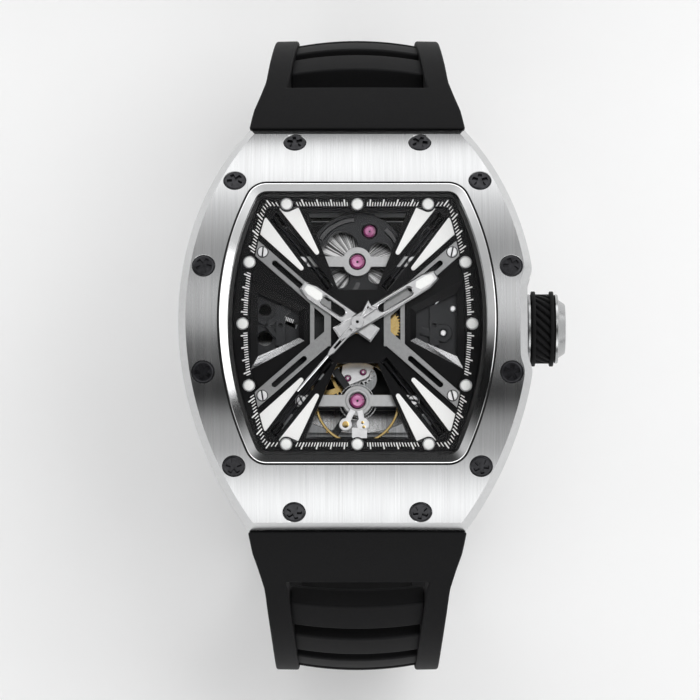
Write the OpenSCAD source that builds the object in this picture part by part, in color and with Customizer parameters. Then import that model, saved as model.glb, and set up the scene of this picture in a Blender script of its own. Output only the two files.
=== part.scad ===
// Automatic wristwatch: barrel-shaped steel case, open-worked dial and rubber strap.
// The dial faces +Z, 12 o'clock lies along +Y and the crown along +X.
// The closed strap stands on its clasp: Z is 0 at the clasp's outer face, under the hands' axis.
// Heights inside the watch are measured from the top of the chapter ring.

/* [Case] */
// Width of the case across its curved sides
case_w = 43.4; // [42.4:0.1:45]
// Length of the case between its straight ends
case_len = 50; // [49:0.1:52]
// Width of each straight end
end_w = 26.4; // [25.5:0.1:28]
// Radius of the domed front, about an axis along X
front_r = 42; // [41:0.5:46]
// Thickness of the bezel, square to the dome
bezel_t = 3; // [2.6:0.1:3.4]
// Width of the bevel round the bezel
bezel_bevel = 0.9; // [0.5:0.1:1.2]
// Height of the bezel's crest above the chapter ring
crest_h = 4.8; // [4.6:0.1:5.4]
// Depth of the case band below the chapter ring
case_depth = 9; // [8.9:0.1:9.6]
// How far the case band stands back from the bezel's edge
band_step = 0.35; // [0.1:0.05:0.6]
// Bevel round the bottom of the case band
band_bevel = 1; // [0.5:0.1:1.5]
// Thickness of the case back
back_t = 1.7; // [1.5:0.1:2]
// Depth of the recess that the case back sits in
back_recess = 0.8; // [0.6:0.1:1]
// Depth of the flat that clears the crown
crown_flat = 1.1; // [0.9:0.1:1.3]

/* [Glass] */
// Width of the front glass
glass_w = 31.5; // [31:0.1:32]
// Length of the front glass
glass_len = 32.4; // [32:0.1:33]
// Radius of the curved sides of the glass
glass_side_r = 36.8; // [34:0.2:40]
// Corner radius of the glass
glass_corner_r = 1.5; // [1.2:0.1:2]
// Thickness of the front glass
glass_t = 1.4; // [1.2:0.1:1.6]
// Width of the polished lip between the glass and the groove round it
lip_w = 1; // [0.7:0.1:1.3]
// Width and depth of that groove
groove_w = 0.25; // [0.15:0.05:0.4]
// Width of the ledge under each glass
ledge_w = 0.5; // [0.4:0.05:0.7]
// Thickness of each gasket
gasket_t = 0.3; // [0.25:0.05:0.4]
// Width of the back window
back_window_w = 27.6; // [27:0.1:28]
// Length of the back window
back_window_len = 28.6; // [28:0.1:29]

/* [Screws] */
// Radius of a bezel screw's head
bezel_head_r = 1.31; // [1.1:0.01:1.4]
// Radius of a bezel screw's shank
bezel_shank_r = 0.7; // [0.6:0.05:0.8]
// Length of a bezel screw's shank
bezel_shank_len = 3.2; // [2.6:0.1:3.6]
// Radius of a case back screw's head
back_head_r = 0.9; // [0.8:0.05:1]
// Radius of a movement screw's head
small_head_r = 0.6; // [0.5:0.05:0.7]

/* [Dial] */
// Width of the chapter ring's opening at 3 and 9 o'clock
ring_open_w = 26.6; // [26:0.1:27]
// Length of the chapter ring's opening
ring_open_len = 28.9; // [28.5:0.1:29.2]
// Thickness of the chapter ring
ring_t = 0.9; // [0.8:0.05:1]
// Thickness of the dial frame
dial_t = 0.6; // [0.5:0.05:0.7]
// Thickness of a wedge inlay
wedge_t = 0.25; // [0.2:0.05:0.3]
// Radius of an hour dot
dot_r = 0.77; // [0.6:0.01:0.85]
// Width of each diagonal strip of the side bridges
strip_w = 1.64; // [1.3:0.02:1.8]

/* [Hands] */
// Length of the hour hand from its axis
hour_len = 8.2; // [7.5:0.1:8.6]
// Length of the minute hand from its axis
minute_len = 11.3; // [10.5:0.1:11.8]
// Length of the seconds hand from its axis
seconds_len = 11.3; // [10.5:0.1:11.8]
// Width of the hour and minute hands
hand_w = 2; // [1.6:0.1:2.2]
// Angle of the hour hand, clockwise from 12 o'clock
hour_at = 304.9; // [300:0.1:310]
// Angle of the minute hand, clockwise from 12 o'clock
minute_at = 58.6; // [52:0.1:64]
// Angle of the seconds hand, clockwise from 12 o'clock
seconds_at = 220.7; // [214:0.1:226]

/* [Movement] */
// Distance of the barrel from the hands' axis
barrel_dist = 7.9; // [7.8:0.02:8]
// Radius of the barrel bridge
barrel_bridge_r = 6.2; // [6:0.05:6.4]
// Distance of the third wheel from the hands' axis
third_dist = 5.5; // [5.45:0.01:5.6]
// Direction of the third wheel from the hands' axis
third_dir = 220; // [219:0.1:221]
// Distance of the balance from the hands' axis
balance_dist = 9.28; // [9.2:0.01:9.4]
// Outer radius of the balance rim
balance_r = 5.2; // [5:0.05:5.25]
// Radius of the rotor
rotor_r = 12.6; // [12:0.1:12.9]
// Running clearance of the pivots
pivot_gap = 0.05; // [0.03:0.01:0.08]

/* [Crown] */
// Radius of the crown's rings
crown_r = 4.25; // [4:0.05:4.4]
// Length of the crown with its cap
crown_len = 4.65; // [4.4:0.05:4.9]
// Depth of the crown's axis below the chapter ring
crown_drop = 4.4; // [4.3:0.05:4.5]
// Travel of the crown when it is pulled to set the hands
crown_travel = 1.2; // [1:0.1:1.3]

/* [Strap] */
// Radius of the strap loop's outside, at each side
strap_r = 24; // [23.5:0.1:24.5]
// Distance of each side's centre from the middle
strap_side_y = 16.4; // [16:0.1:17]
// Thickness of the strap
strap_t = 3.5; // [3.2:0.1:3.7]
// Width of the strap at the clasp
strap_w = 20; // [19:0.2:21]
// Width of the strap's side rails
rail_w = 2.9; // [2.4:0.05:3.2]
// Where the strap's window starts, as an angle round the loop from straight up
window_from = 37.5; // [36:0.5:39]
// Where its first slat starts
slat_from = 46.3; // [45:0.1:48]
// Angle that one slat takes
slat_angle = 9.7; // [8:0.1:10.5]
// Angle between neighbouring slats
slat_step = 14.6; // [14:0.1:16]
// How far a slat's crown falls from its middle to its ends
slat_crown = 0.7; // [0.4:0.05:0.9]

/* [Clasp] */
// Length of the clasp's cover
cover_len = 30; // [28:0.5:32]
// Thickness of the clasp's cover
cover_t = 0.7; // [0.6:0.05:0.9]
// Thickness of the clasp's cheeks
cheek_t = 1; // [0.8:0.05:1.2]
// Height of the clasp's cheeks
cheek_h = 4.6; // [4.4:0.1:4.8]
// Radius of a push button
button_r = 1.3; // [1.1:0.05:1.35]
// Travel of a push button
button_travel = 0.6; // [0.4:0.05:0.7]

/* [Hidden] */

$fn = 96;
eps = 0.02;
steel = "#b9bcc0";
polished = "#d7dadd";
black = "#15171a";
anthracite = "#2c2f33";
grey = "#8b9096";
gold = "#c9a24b";
ruby = "#d0468c";
white = "#f2f3f1";

// The strap loop sets how high the dial stands
strap_root_z = -strap_r - 2.8;
dial_z = strap_r - strap_root_z + cover_t;

// The case outline is two arcs cut off by two straight ends
case_bulge = (case_w - end_w) / 2;
case_side_r = (pow(case_len / 2, 2) + pow(case_bulge, 2)) / (2 * case_bulge);
dome_z = crest_h - front_r;

// A place and its mirror images about both middle lines of the dial
function four(x, y) = [for (sx = [-1, 1]) for (sy = [-1, 1]) [sx * x, sy * y]];

// Screw places on the front, as x and y from the hands' axis
bezel_screw_at = concat(
    four(7.7, case_len / 2 - 2.1), four(case_w / 2 - 6.7, case_len / 2 - 7.4), four(case_w / 2 - 3.05, 6.5));

// Lifts what is measured from the chapter ring to its height in the whole watch
module at_dial() translate([0, 0, dial_z]) children();

module box(low, high) translate(low) cube(high - low);

module post(r, z0, z1) translate([0, 0, z0]) cylinder(r = r, h = z1 - z0);

module plate(z0, z1) translate([0, 0, z0]) linear_extrude(z1 - z0) children();

module case_outline(inset) intersection() {
    side_x = case_side_r - case_w / 2;
    translate([-side_x, 0]) circle(case_side_r - inset, $fn = 180);
    translate([side_x, 0]) circle(case_side_r - inset, $fn = 180);
    square([case_w, case_len - 2 * inset], center = true);
}

// Points of a window with curved sides, straight ends and rounded corners
function corner_centre(w, l, side_r, corner_r) =
    let (y = l / 2 - corner_r)
    [w / 2 - side_r + sqrt(pow(side_r - corner_r, 2) - y * y), y];

function window_quarter(w, l, side_r, corner_r) =
    let (c = corner_centre(w, l, side_r, corner_r))
    let (side_x = w / 2 - side_r)
    let (meet = atan2(c[1], c[0] - side_x))
    concat(
        [for (i = [0:9]) [side_x + side_r * cos(meet * i / 10), side_r * sin(meet * i / 10)]],
        [for (i = [0:5]) let (a = meet + (90 - meet) * i / 5) c + corner_r * [cos(a), sin(a)]]
    );

function turned(points) = [for (i = [len(points) - 1:-1:0]) points[i]];

function window_points(w, l, side_r, corner_r) =
    let (q = window_quarter(w, l, side_r, corner_r))
    let (left = [for (p = turned(q)) [-p[0], p[1]]])
    let (top = concat(q, left))
    concat(top, [for (p = turned(top)) if (abs(p[1]) > eps) [p[0], -p[1]]]);

module window(grow) polygon(window_points(
    glass_w + 2 * grow, glass_len + 2 * grow, glass_side_r + grow, max(0.4, glass_corner_r + grow)));

back_corner_r = 3;

module back_window(grow) polygon(window_points(
    back_window_w + 2 * grow, back_window_len + 2 * grow, glass_side_r + grow, back_corner_r + grow));

// A cylinder about an axis along X, concentric with the domed front
module dome(r) translate([0, 0, dome_z]) rotate([0, 90, 0])
    cylinder(r = r, h = 2 * case_w, center = true, $fn = 180);

module dome_shell(r0, r1) difference() {
    intersection() {
        children();
        dome(r1);
    }
    dome(r0);
}

// Stands its children on the domed front, square to it
module on_dome(at) translate([at[0], 0, dome_z]) rotate([-asin(at[1] / front_r), 0, 0])
    translate([0, 0, front_r]) children();

// Space cut away round the crown
module crown_notch(top_bevel) {
    flat_x = case_w / 2 - crown_flat;
    half = crown_r + 0.55;
    plate(-case_depth - 1, crest_h + 1) polygon([
        [flat_x, -half], [flat_x + crown_flat, -half - 1.45], [flat_x + 3, -half - 1.45],
        [flat_x + 3, half + 1.45], [flat_x + crown_flat, half + 1.45], [flat_x, half]
    ]);
    translate([flat_x, 0, crest_h - top_bevel]) rotate([0, -45, 0])
        box([0, -half - 0.5, 0], [3, half + 0.5, 3]);
}

module bezel_blank() {
    low = -case_depth;
    hull() {
        intersection() {
            plate(low, crest_h) case_outline(0);
            dome(front_r - bezel_bevel);
        }
        intersection() {
            plate(low, crest_h) case_outline(bezel_bevel);
            dome(front_r);
        }
    }
}

module bezel() color(steel) at_dial() difference() {
    bezel_blank();
    dome(front_r - bezel_t);
    plate(-case_depth, crest_h + 1) window(-ledge_w);
    dome_shell(front_r - glass_t - gasket_t, front_r + 1) plate(-2, crest_h + 1) window(0);
    dome_shell(front_r - groove_w, front_r + 1) plate(-3, crest_h + 1) difference() {
        window(lip_w + groove_w);
        window(lip_w);
    }
    crown_notch(bezel_bevel);
    for (at = bezel_screw_at) on_dome(at) {
        post(bezel_head_r + 0.03, -1, 1);
        post(bezel_shank_r + 0.1, -bezel_t - 1, 0);
    }
}

module bezel_screws() color(black) at_dial() for (at = bezel_screw_at) on_dome(at) difference() {
    union() {
        post(bezel_head_r, -1, 0.02);
        post(bezel_shank_r, -1 - bezel_shank_len, -0.9);
    }
    for (i = [0:4]) rotate([0, 0, 72 * i]) box([0.35, -0.17, -0.4], [0.95, 0.17, 1]);
    post(0.42, -0.4, 1);
}

module band_blank() {
    intersection() {
        hull() {
            plate(-case_depth + band_bevel, crest_h) case_outline(band_step);
            plate(-case_depth, crest_h) case_outline(band_step + band_bevel);
        }
        dome(front_r - bezel_t);
    }
}

// The strap's tongue and the two screws that hold it, on the 12 o'clock side
tongue_w = 18;
tongue_y = 21.6;
tongue_z = -8.2;
tongue_t = 0.9;
strap_screw_x = 5.5;
strap_screw_y = 23;
strap_shank_r = 0.5;
strap_head_r = 0.85;
strap_head_room = 0.6;

module case_middle() color(steel) at_dial() difference() {
    band_blank();
    plate(-case_depth - 1, crest_h) window(pocket_grow);
    plate(-case_depth - 1, -case_depth + back_recess) back_window(back_grow + 0.05);
    crown_notch(0);
    translate([0, 0, -crown_drop]) rotate([0, 90, 0]) cylinder(r = tube_r + 0.02, h = case_w);
    for (at = bezel_screw_at) on_dome(at) post(bezel_shank_r + 0.02, -1.2 - bezel_shank_len, -1);
    for (sy = [-1, 1]) scale([1, sy, 1]) {
        box([-tongue_w / 2 - 0.1, tongue_y - 0.1, tongue_z - 0.05],
            [tongue_w / 2 + 0.1, case_len, tongue_z + tongue_t + 0.05]);
    }
    for (sx = [-1, 1]) for (sy = [-1, 1]) translate([sx * strap_screw_x, sy * strap_screw_y, 0]) {
        post(strap_shank_r + 0.02, -case_depth - 1, tongue_z + tongue_t + 1);
        post(strap_head_r + 0.05, -case_depth - 1, -case_depth + strap_head_room);
    }
    for (at = back_screw_at) translate(at)
        post(back_shank_r + 0.02, -case_depth - 1, -case_depth + back_recess + 1.6);
}

// How far the movement's pocket and the case back reach past their glasses
pocket_grow = 0.5;
back_grow = 4.4;
back_screw_inset = 1.1;
back_screw_out = back_grow - back_screw_inset;
back_screw_at = concat(
    four(6, back_window_len / 2 + back_screw_out), four(back_window_w / 2 + back_screw_out, 4));
back_shank_r = 0.4;
back_head_room = 0.7;
back_edge = 0.4;
back_glass_z = 0.5;
back_top = -case_depth + back_recess;
back_low = back_top - back_t;

module caseback() color(steel) at_dial() difference() {
    union() {
        plate(back_low + back_edge, back_top) back_window(back_grow);
        plate(back_low, back_top) back_window(back_grow - back_edge);
    }
    plate(back_low - 1, back_top + 1) back_window(0);
    plate(back_low + back_glass_z, back_top + 1) back_window(ledge_w);
    for (at = back_screw_at) translate(at) {
        post(back_shank_r + 0.05, back_low - 1, back_top + 1);
        post(back_head_r + 0.05, back_low - 1, back_low + back_head_room);
    }
}

module slotted_screw(head_r, head_t, shank_r, shank_len, turn) difference() {
    union() {
        post(head_r, 0, head_t);
        post(shank_r, -shank_len, 0.01);
    }
    rotate([0, 0, turn]) box([-head_r, -head_r * 0.14, head_t * 0.5], [head_r, head_r * 0.14, head_t + 1]);
}

module caseback_screws() color(polished) at_dial() for (at = back_screw_at)
    translate([at[0], at[1], back_low + back_head_room]) rotate([180, 0, 0])
        slotted_screw(back_head_r, 0.6, back_shank_r, 2.2, 20 * at[1]);

module crystal() color("white", 0.3) at_dial()
    dome_shell(front_r - glass_t, front_r + 0.15) plate(-2, crest_h + 1) window(-0.06);

module front_gasket() color(black) at_dial()
    dome_shell(front_r - glass_t - gasket_t, front_r - glass_t) plate(-2, crest_h) difference() {
        window(-0.05);
        window(-ledge_w);
    }

module back_crystal() color("white", 0.3) at_dial()
    plate(back_low + back_glass_z + gasket_t, back_top) back_window(ledge_w - 0.06);

module back_gasket() color(black) at_dial() translate([0, 0, back_low + back_glass_z])
    plate(0, gasket_t) difference() {
        back_window(ledge_w - 0.05);
        back_window(0);
    }

ring_side_r = 46.5;
ring_corner_r = 0.6;

module ring_opening(grow) polygon(window_points(
    ring_open_w + 2 * grow, ring_open_len + 2 * grow, ring_side_r + grow, ring_corner_r));

// The hour dots stand on the chapter ring, just outside its opening
dot_x = ring_open_w / 2 + 0.7;
dot_y = ring_open_len / 2 + 0.35;
dot_at = concat(
    [[0, dot_y], [0, -dot_y], [dot_x, 0], [-dot_x, 0]], four(8.66, dot_y), four(dot_x - 0.8, 7.6));
dot_seat = 0.2;

module chapter_ring() color(black) at_dial() difference() {
    plate(-ring_t, 0) intersection() {
        window(-ledge_w - 0.1);
        union() {
            difference() {
                window(0);
                ring_opening(0);
            }
            for (at = dot_at) translate(at) circle(dot_r + 0.12);
        }
    }
    for (at = dot_at) translate(at) post(dot_r + 0.02, -dot_seat, 1);
}

module hour_markers() color(white) at_dial() for (at = dot_at) translate([at[0], at[1], -dot_seat])
    rotate_extrude() polygon([[0, 0], [dot_r, 0], [dot_r, 0.28], [dot_r - 0.1, 0.4], [0, 0.45]]);

dial_z0 = -ring_t;
dial_z1 = -ring_t + dial_t;

// Mirrors a shape of the upper left quarter into all four
module quarters() for (sx = [-1, 1]) for (sy = [-1, 1]) scale([sx, sy, 1]) children();

wedge_corner_r = 0.15;
wedge_tip_r = 0.27;

module wedge(corner_a, corner_b, tip) hull() {
    translate(corner_a) circle(wedge_corner_r, $fn = 24);
    translate(corner_b) circle(wedge_corner_r, $fn = 24);
    translate(tip) circle(wedge_tip_r, $fn = 24);
}

module channel() polygon([[-10.75, 13.1], [-9.95, 13.95], [-2.85, 4.65], [-3.55, 4.05]]);

strip_slot_r = 0.35;
strip_gap_x = 4.65;
strip_gap = [1.2, 4.6];
small_hole_r = 0.32;

module strip_slot() hull() {
    translate([-10.1, 7.48]) circle(strip_slot_r, $fn = 24);
    translate([-6.5, 4.31]) circle(strip_slot_r, $fn = 24);
}

module upper_window() polygon([[-6.15, 14], [6.15, 14], [2.35, 4.27], [-2.35, 4.27]]);

module lower_window() polygon([[-6.4, -14], [6.4, -14], [2.5, -4.76], [-2.5, -4.76]]);

module pocket(side) hull() {
    plate(dial_z1 - eps, dial_z1 + 0.1)
        polygon([[side * 13.0, 5.6], [side * 13.0, -5.6], [side * 6.48, -2.05], [side * 6.48, 2.05]]);
    plate(dial_z0 - 0.1, dial_z0)
        polygon([[side * 12.0, 3.6], [side * 12.0, -3.6], [side * 7.3, -1.5], [side * 7.3, 1.5]]);
}

module dial_frame() color(black) at_dial() difference() {
    plate(dial_z0, dial_z1) ring_opening(-0.05);
    plate(dial_z0 - 1, dial_z1 + 1) {
        upper_window();
        lower_window();
        circle(1.2);
        quarters() channel();
        for (sx = [-1, 1]) translate([sx * strip_gap_x, 0]) square(strip_gap, center = true);
    }
    quarters() plate(dial_z0 - 1, dial_z1 + 1) strip_slot();
    for (side = [-1, 1]) pocket(side);
    for (at = dot_at) translate(at) post(dot_r + 0.17, dial_z0 - 1, 1);
    for (at = dial_screw_at) translate(at) post(small_hole_r, dial_z0 - 1, 1);
}

// What lies on the dial frame stays clear of the chapter ring and its dots
module inside_ring() difference() {
    intersection() {
        children();
        ring_opening(-0.05);
    }
    for (at = dot_at) translate(at) circle(dot_r + 0.17);
}

module wedge_inlays() color(white) at_dial() plate(dial_z1, dial_z1 + wedge_t) inside_ring() quarters() {
    wedge([-9.38, ring_open_len / 2 - 0.18], [-7.31, ring_open_len / 2 - 0.18], [-4.95, 8.85]);
    wedge([-11.85, 11.26], [-11.21, 12.98], [-6.85, 6.9]);
}

// The side bridges run parallel to the diagonals of the dial
strip_dir = atan2(-0.66, 0.75);
strip_mid = [-9.2, 6.61];
strip_z1 = dial_z1 + 0.4;
dial_screw_at = four(11.58, 8.85);

module strip_arm() intersection() {
    translate(strip_mid) rotate(strip_dir) square([22, strip_w], center = true);
    polygon([[-13.05, 9.3], [-12.15, 11.1], [-3.23, 5], [-3.23, 0], [-13.05, 0]]);
}

module side_bridges() color(grey) at_dial() difference() {
    plate(dial_z1, strip_z1) inside_ring() for (sx = [-1, 1]) difference() {
        union() {
            for (sy = [-1, 1]) scale([sx, sy]) difference() {
                strip_arm();
                strip_slot();
            }
            translate([sx * 4.5, 0]) square([2.54, 5.5], center = true);
        }
        translate([sx * strip_gap_x, 0]) square(strip_gap, center = true);
    }
    for (at = dial_screw_at) translate(at) post(small_hole_r, dial_z0 - 1, 1);
}

module dial_screws() color(polished) at_dial() for (at = dial_screw_at)
    translate([at[0], at[1], strip_z1]) slotted_screw(small_head_r, small_head_t, small_shank_r, 2.4, 78);

// Levels of the movement, from the dial side to the rotor
plate_z1 = -1.9;
plate_z0 = -3.3;
bar_z1 = plate_z1 + 0.6;
centre_z = -3.7;
barrel_z = -4.4;
escape_z = -4.25;
lower_z = -4.95;
third_z = -5.35;
fourth_z = -6;
winding_z = -6.35;
back_z1 = -6.45;
back_z0 = -7.2;
rotor_z = -7.95;
rim_z = -2.9;
wheel_t = 0.25;

barrel_at = [0, barrel_dist];
third_at = third_dist * [cos(third_dir), sin(third_dir)];
escape_at = [0.7, -5.55];
pallet_at = [-1.18, -6.3];
balance_at = [0, -balance_dist];
minute_wheel_at = [3, 0];
crown_wheel_at = [6.5, 0];
pillar_at = [[9.5, 9], [-9.3, 3.2], [6.6, -7.2]];
small_head_t = 0.3;
small_shank_r = 0.3;

// Tooth counts of the going train, the motion work and the winding work
centre_teeth = 64;
centre_leaves = 24;
barrel_teeth = 76;
third_teeth = 60;
third_leaves = 8;
fourth_teeth = 70;
fourth_leaves = 8;
escape_leaves = 7;
escape_teeth = 15;
cannon_teeth = 12;
minute_teeth = 36;
minute_leaves = 10;
hour_teeth = 40;
ratchet_teeth = 46;
crown_wheel_teeth = 38;
winding_teeth = 14;

// Module of a pair of wheels from the distance between their axes
function pair_module(a, b, teeth_a, teeth_b) = 2 * norm(a - b) / (teeth_a + teeth_b);
function heading(from, to) = atan2(to[1] - from[1], to[0] - from[0]);

barrel_m = pair_module(barrel_at, [0, 0], barrel_teeth, centre_leaves);
third_m = pair_module(third_at, [0, 0], centre_teeth, third_leaves);
fourth_m = pair_module(third_at, [0, 0], third_teeth, fourth_leaves);
escape_m = pair_module(escape_at, [0, 0], fourth_teeth, escape_leaves);
minute_m = pair_module(minute_wheel_at, [0, 0], cannon_teeth, minute_teeth);
hour_m = pair_module(minute_wheel_at, [0, 0], minute_leaves, hour_teeth);
winding_m = pair_module(crown_wheel_at, barrel_at, ratchet_teeth, crown_wheel_teeth);

// Corners of one tooth: how far to each side, in tooth pitches, and how far out, in modules
tooth = [[-0.195, -1.2], [-0.165, 0], [-0.075, 0.9], [0.075, 0.9], [0.165, 0], [0.195, -1.2]];

// A wheel has a tooth, not a gap, in the direction facing
function gear_points(teeth, m, facing) = [
    for (i = [0:teeth - 1]) for (corner = tooth)
        let (a = facing + (i + corner[0]) * 360 / teeth) let (r = m * (teeth / 2 + corner[1]))
        [r * cos(a), r * sin(a)]
];

module gear(teeth, m, facing) polygon(gear_points(teeth, m, facing));

// Radius inside a spoked wheel's rim
function rim_inside(m, teeth) = m * teeth / 2 - 0.85;

// The meshing partner has a gap, not a tooth, towards the other wheel
function facing_gap(from, to, teeth) = heading(from, to) + 180 / teeth;

module spoked(rim_r, hub_r, spokes, spoke_w, turn) {
    difference() {
        children();
        circle(rim_r);
    }
    circle(hub_r);
    for (i = [0:spokes - 1]) rotate(turn + 360 * i / spokes)
        translate([0, -spoke_w / 2]) square([rim_r + 0.05, spoke_w]);
}

module at(place) translate([place[0], place[1], 0]) children();

// The ring's inside is sized by the rotor across the dial and by the barrel bridge along it
movement_w = 2 * (rotor_r + 1.2);
movement_len = 2 * (barrel_dist + barrel_bridge_r + 0.2);

module movement_room(grow) polygon(window_points(
    movement_w + 2 * grow, movement_len + 2 * grow, glass_side_r + grow, back_corner_r + grow));

module movement_ring() color(anthracite) at_dial() difference() {
    intersection() {
        plate(back_z0, -ring_t) difference() {
            window(pocket_grow - 0.1);
            movement_room(0.1);
        }
        dome(front_r - bezel_t - 0.05);
    }
    translate([0, 0, -crown_drop]) rotate([0, 90, 0]) cylinder(r = stem_r + 0.2, h = case_w);
    at(balance_at) post(balance_r + 0.45, rim_z - 0.4, rim_z + 0.8);
}

module bar_outline(x_end, w, disc_r) {
    square([2 * x_end, w], center = true);
    circle(disc_r);
}

bar_end = 7.6;
bar_screw_x = 6.8;
bar_screw_at = [for (sx = [-1, 1]) for (y = [barrel_dist, -balance_dist]) [sx * bar_screw_x, y]];

// Round holes of the main plate, each as x, y and radius, and straight slots as x, y, turn, length, width
plate_holes = [[-11.3, 2, 0.8], [-11.3, -1.5, 0.95], [-9, -3, 0.7], [9.3, 3.4, 0.75], [8.9, -3.2, 0.6]];
plate_slots = [
    [-8.45, 11.75, -57, 1.3, 0.9], [8.45, 11.75, 57, 1.3, 0.9],
    [-8.4, -11.9, 57, 2.2, 0.9], [8.4, -11.9, -57, 2.2, 0.9], [-8.1, 0.3, -25, 1.6, 0.7]
];

module main_plate_outline() difference() {
    movement_room(0.08);
    at(barrel_at) circle(barrel_bridge_r + 0.1);
    polygon([[-6, 14], [6, 14], [4.3, 8.5], [-4.3, 8.5]]);
    at(balance_at) circle(balance_r + 0.5);
    lower_window();
    for (hole = plate_holes) at(hole) circle(hole[2]);
    for (slot = plate_slots) at(slot) rotate(slot[2]) square([slot[3], slot[4]], center = true);
}

module main_plate() color(anthracite) at_dial() {
    difference() {
        plate(plate_z0, plate_z1) main_plate_outline();
        post(0.7, plate_z0 - 1, plate_z1 + 1);
        at(third_at) post(0.25, plate_z0 - 1, plate_z0 + 0.5);
        for (place = concat(dial_screw_at, bar_screw_at)) at(place) post(small_hole_r, plate_z0 - 1, 1);
        plate(plate_z0 - 1, cock_z1) escape_cock_outline();
        box([pinion_x - 0.15, -pinion_room, plate_z0 - 1],
            [pinion_x + 1.15 + crown_travel, pinion_room, pinion_room - crown_drop]);
    }
    at(minute_wheel_at) post(0.35, plate_z1 - 0.01, -1.02);
    for (sx = [-1, 1]) translate([sx * 9.4, 0, plate_z1 - 0.01]) linear_extrude(0.5) difference() {
        square([1.1, 5], center = true);
        circle(0.3);
    }
    for (place = dial_screw_at) at(place) difference() {
        post(0.75, plate_z1 - 0.01, dial_z0);
        post(small_hole_r, plate_z1 - 1, 1);
    }
}

module arc_groove(r, w, from, to) rotate([0, 0, from]) rotate_extrude(angle = to - from)
    translate([r - w / 2, -0.25]) square([w, 1]);

module barrel_bridge() color(anthracite) at_dial() difference() {
    plate(plate_z0, plate_z1) difference() {
        at(barrel_at) circle(barrel_bridge_r);
        translate([-1.87, 9.9]) circle(1.87);
        translate([-3.4, 9.0]) rotate(30) square([2, 2.4], center = true);
        translate([2.8, 8.97]) circle(1.4);
        translate([-2.2, 5.9]) circle(1.2);
        translate([2.3, 6.26]) circle(1);
    }
    at(barrel_at) post(0.55, plate_z0 - 1, plate_z1 + 1);
    for (place = bridge_jewel_at) at(place) post(jewel_seat_r, plate_z1 - 0.5, plate_z1 + 1);
    translate([0, barrel_dist, plate_z1]) {
        arc_groove(5.35, 0.56, 94, 147);
        arc_groove(5.35, 0.56, 28, 50);
    }
}

bridge_jewel_at = [[1.5, 11.8], [1.3, 3.37]];
jewel_seat_r = 0.93;
bar_jewel_r = 0.89;

module cross_bar(place, w, disc_r) plate(plate_z1, bar_z1) at(place) difference() {
    bar_outline(bar_end, w, disc_r);
    circle(bar_jewel_r + 0.14);
    for (sx = [-1, 1]) translate([sx * bar_screw_x, 0]) circle(small_hole_r);
}

module barrel_bar() color(grey) at_dial() cross_bar(barrel_at, 1.3, 1.8);

module balance_bar() color(grey) at_dial() cross_bar(balance_at, 1.45, 1.82);

cock_z0 = -3.4;
cock_z1 = -3;

module escape_cock_outline() hull() {
    at(escape_at) circle(0.85);
    at(pallet_at) circle(0.9);
    translate([0.2, -4.1]) square([3.6, 1.4], center = true);
}

module escape_cock() color(polished) at_dial() plate(cock_z0, cock_z1) difference() {
    escape_cock_outline();
    at(escape_at) circle(0.4);
    at(pallet_at) circle(0.4);
}

module pallet_bridge() color(anthracite) at_dial() {
    difference() {
        plate(lower_z, lower_z + 0.4) difference() {
            union() {
                at(balance_at) square([15, 1.6], center = true);
                at(balance_at) circle(1.6);
                hull() {
                    at(pallet_at) circle(0.6, $fn = 32);
                    at(balance_at) circle(0.8, $fn = 32);
                }
            }
            at(escape_at) circle(0.6);
        }
        at(balance_at) post(0.2 + pivot_gap, lower_z + 0.15, 0);
        at(pallet_at) post(0.15 + pivot_gap, lower_z + 0.15, 0);
    }
    for (sx = [-1, 1]) at([sx * bar_screw_x, -balance_dist]) difference() {
        post(0.7, lower_z + 0.3, plate_z0);
        post(small_hole_r, plate_z0 - 1, 0);
    }
}

module train_bridge() color(anthracite) at_dial() {
    difference() {
        plate(back_z0, back_z1) {
            circle(3.2);
            at(barrel_at) circle(2.4);
            at(third_at) circle(1.2);
            at(escape_at) circle(1);
            for (place = concat(pillar_at, [barrel_at, third_at, escape_at]))
                rotate(heading([0, 0], place)) translate([0, -0.9]) square([norm(place), 1.8]);
            for (place = pillar_at) at(place) circle(1.3);
        }
        post(0.2 + pivot_gap, back_z0 - 1, back_z1 + 1);
        at(barrel_at) post(0.8 + pivot_gap, back_z0 - 1, back_z1 + 1);
        at(third_at) post(0.15 + pivot_gap, back_z0 + 0.2, 0);
        at(escape_at) post(0.12 + pivot_gap, back_z0 + 0.2, 0);
        at(crown_wheel_at) post(0.35, back_z0 - 1, back_z1 + 1);
    }
    for (place = pillar_at) at(place) post(0.9, back_z1 - 0.01, plate_z0);
    at(crown_wheel_at) difference() {
        post(0.75, back_z0, back_z1);
        post(0.35, back_z0 - 1, 0);
    }
    translate([0, 0, back_z1]) rotate(heading([0, 0], crown_wheel_at)) difference() {
        box([2, -0.6, back_z0 - back_z1], [norm(crown_wheel_at), 0.6, 0]);
        translate([norm(crown_wheel_at), 0, 0]) post(0.5, -2, 1);
    }
    difference() {
        post(1.5, rotor_z + 0.05, back_z0 + 0.01);
        post(0.2 + pivot_gap, rotor_z, back_z1);
    }
}

module jewel(r, bore, t) rotate_extrude() polygon([
    [bore, 0], [r, 0], [r, t - 0.08], [r - 0.08, t], [bore + 0.15, t], [bore, t - 0.12]
]);

module jewels() color(ruby) at_dial() {
    for (place = [barrel_at, balance_at]) at(place) translate([0, 0, bar_z1 - 0.35]) {
        jewel(bar_jewel_r, 0.12, 0.3);
    }
    for (place = bridge_jewel_at) at(place) translate([0, 0, plate_z1 - 0.5]) jewel(0.75, 0.12, 0.35);
    for (place = [escape_at, pallet_at]) at(place) translate([0, 0, -3.3]) jewel(0.36, 0.2, 0.28);
}

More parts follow.
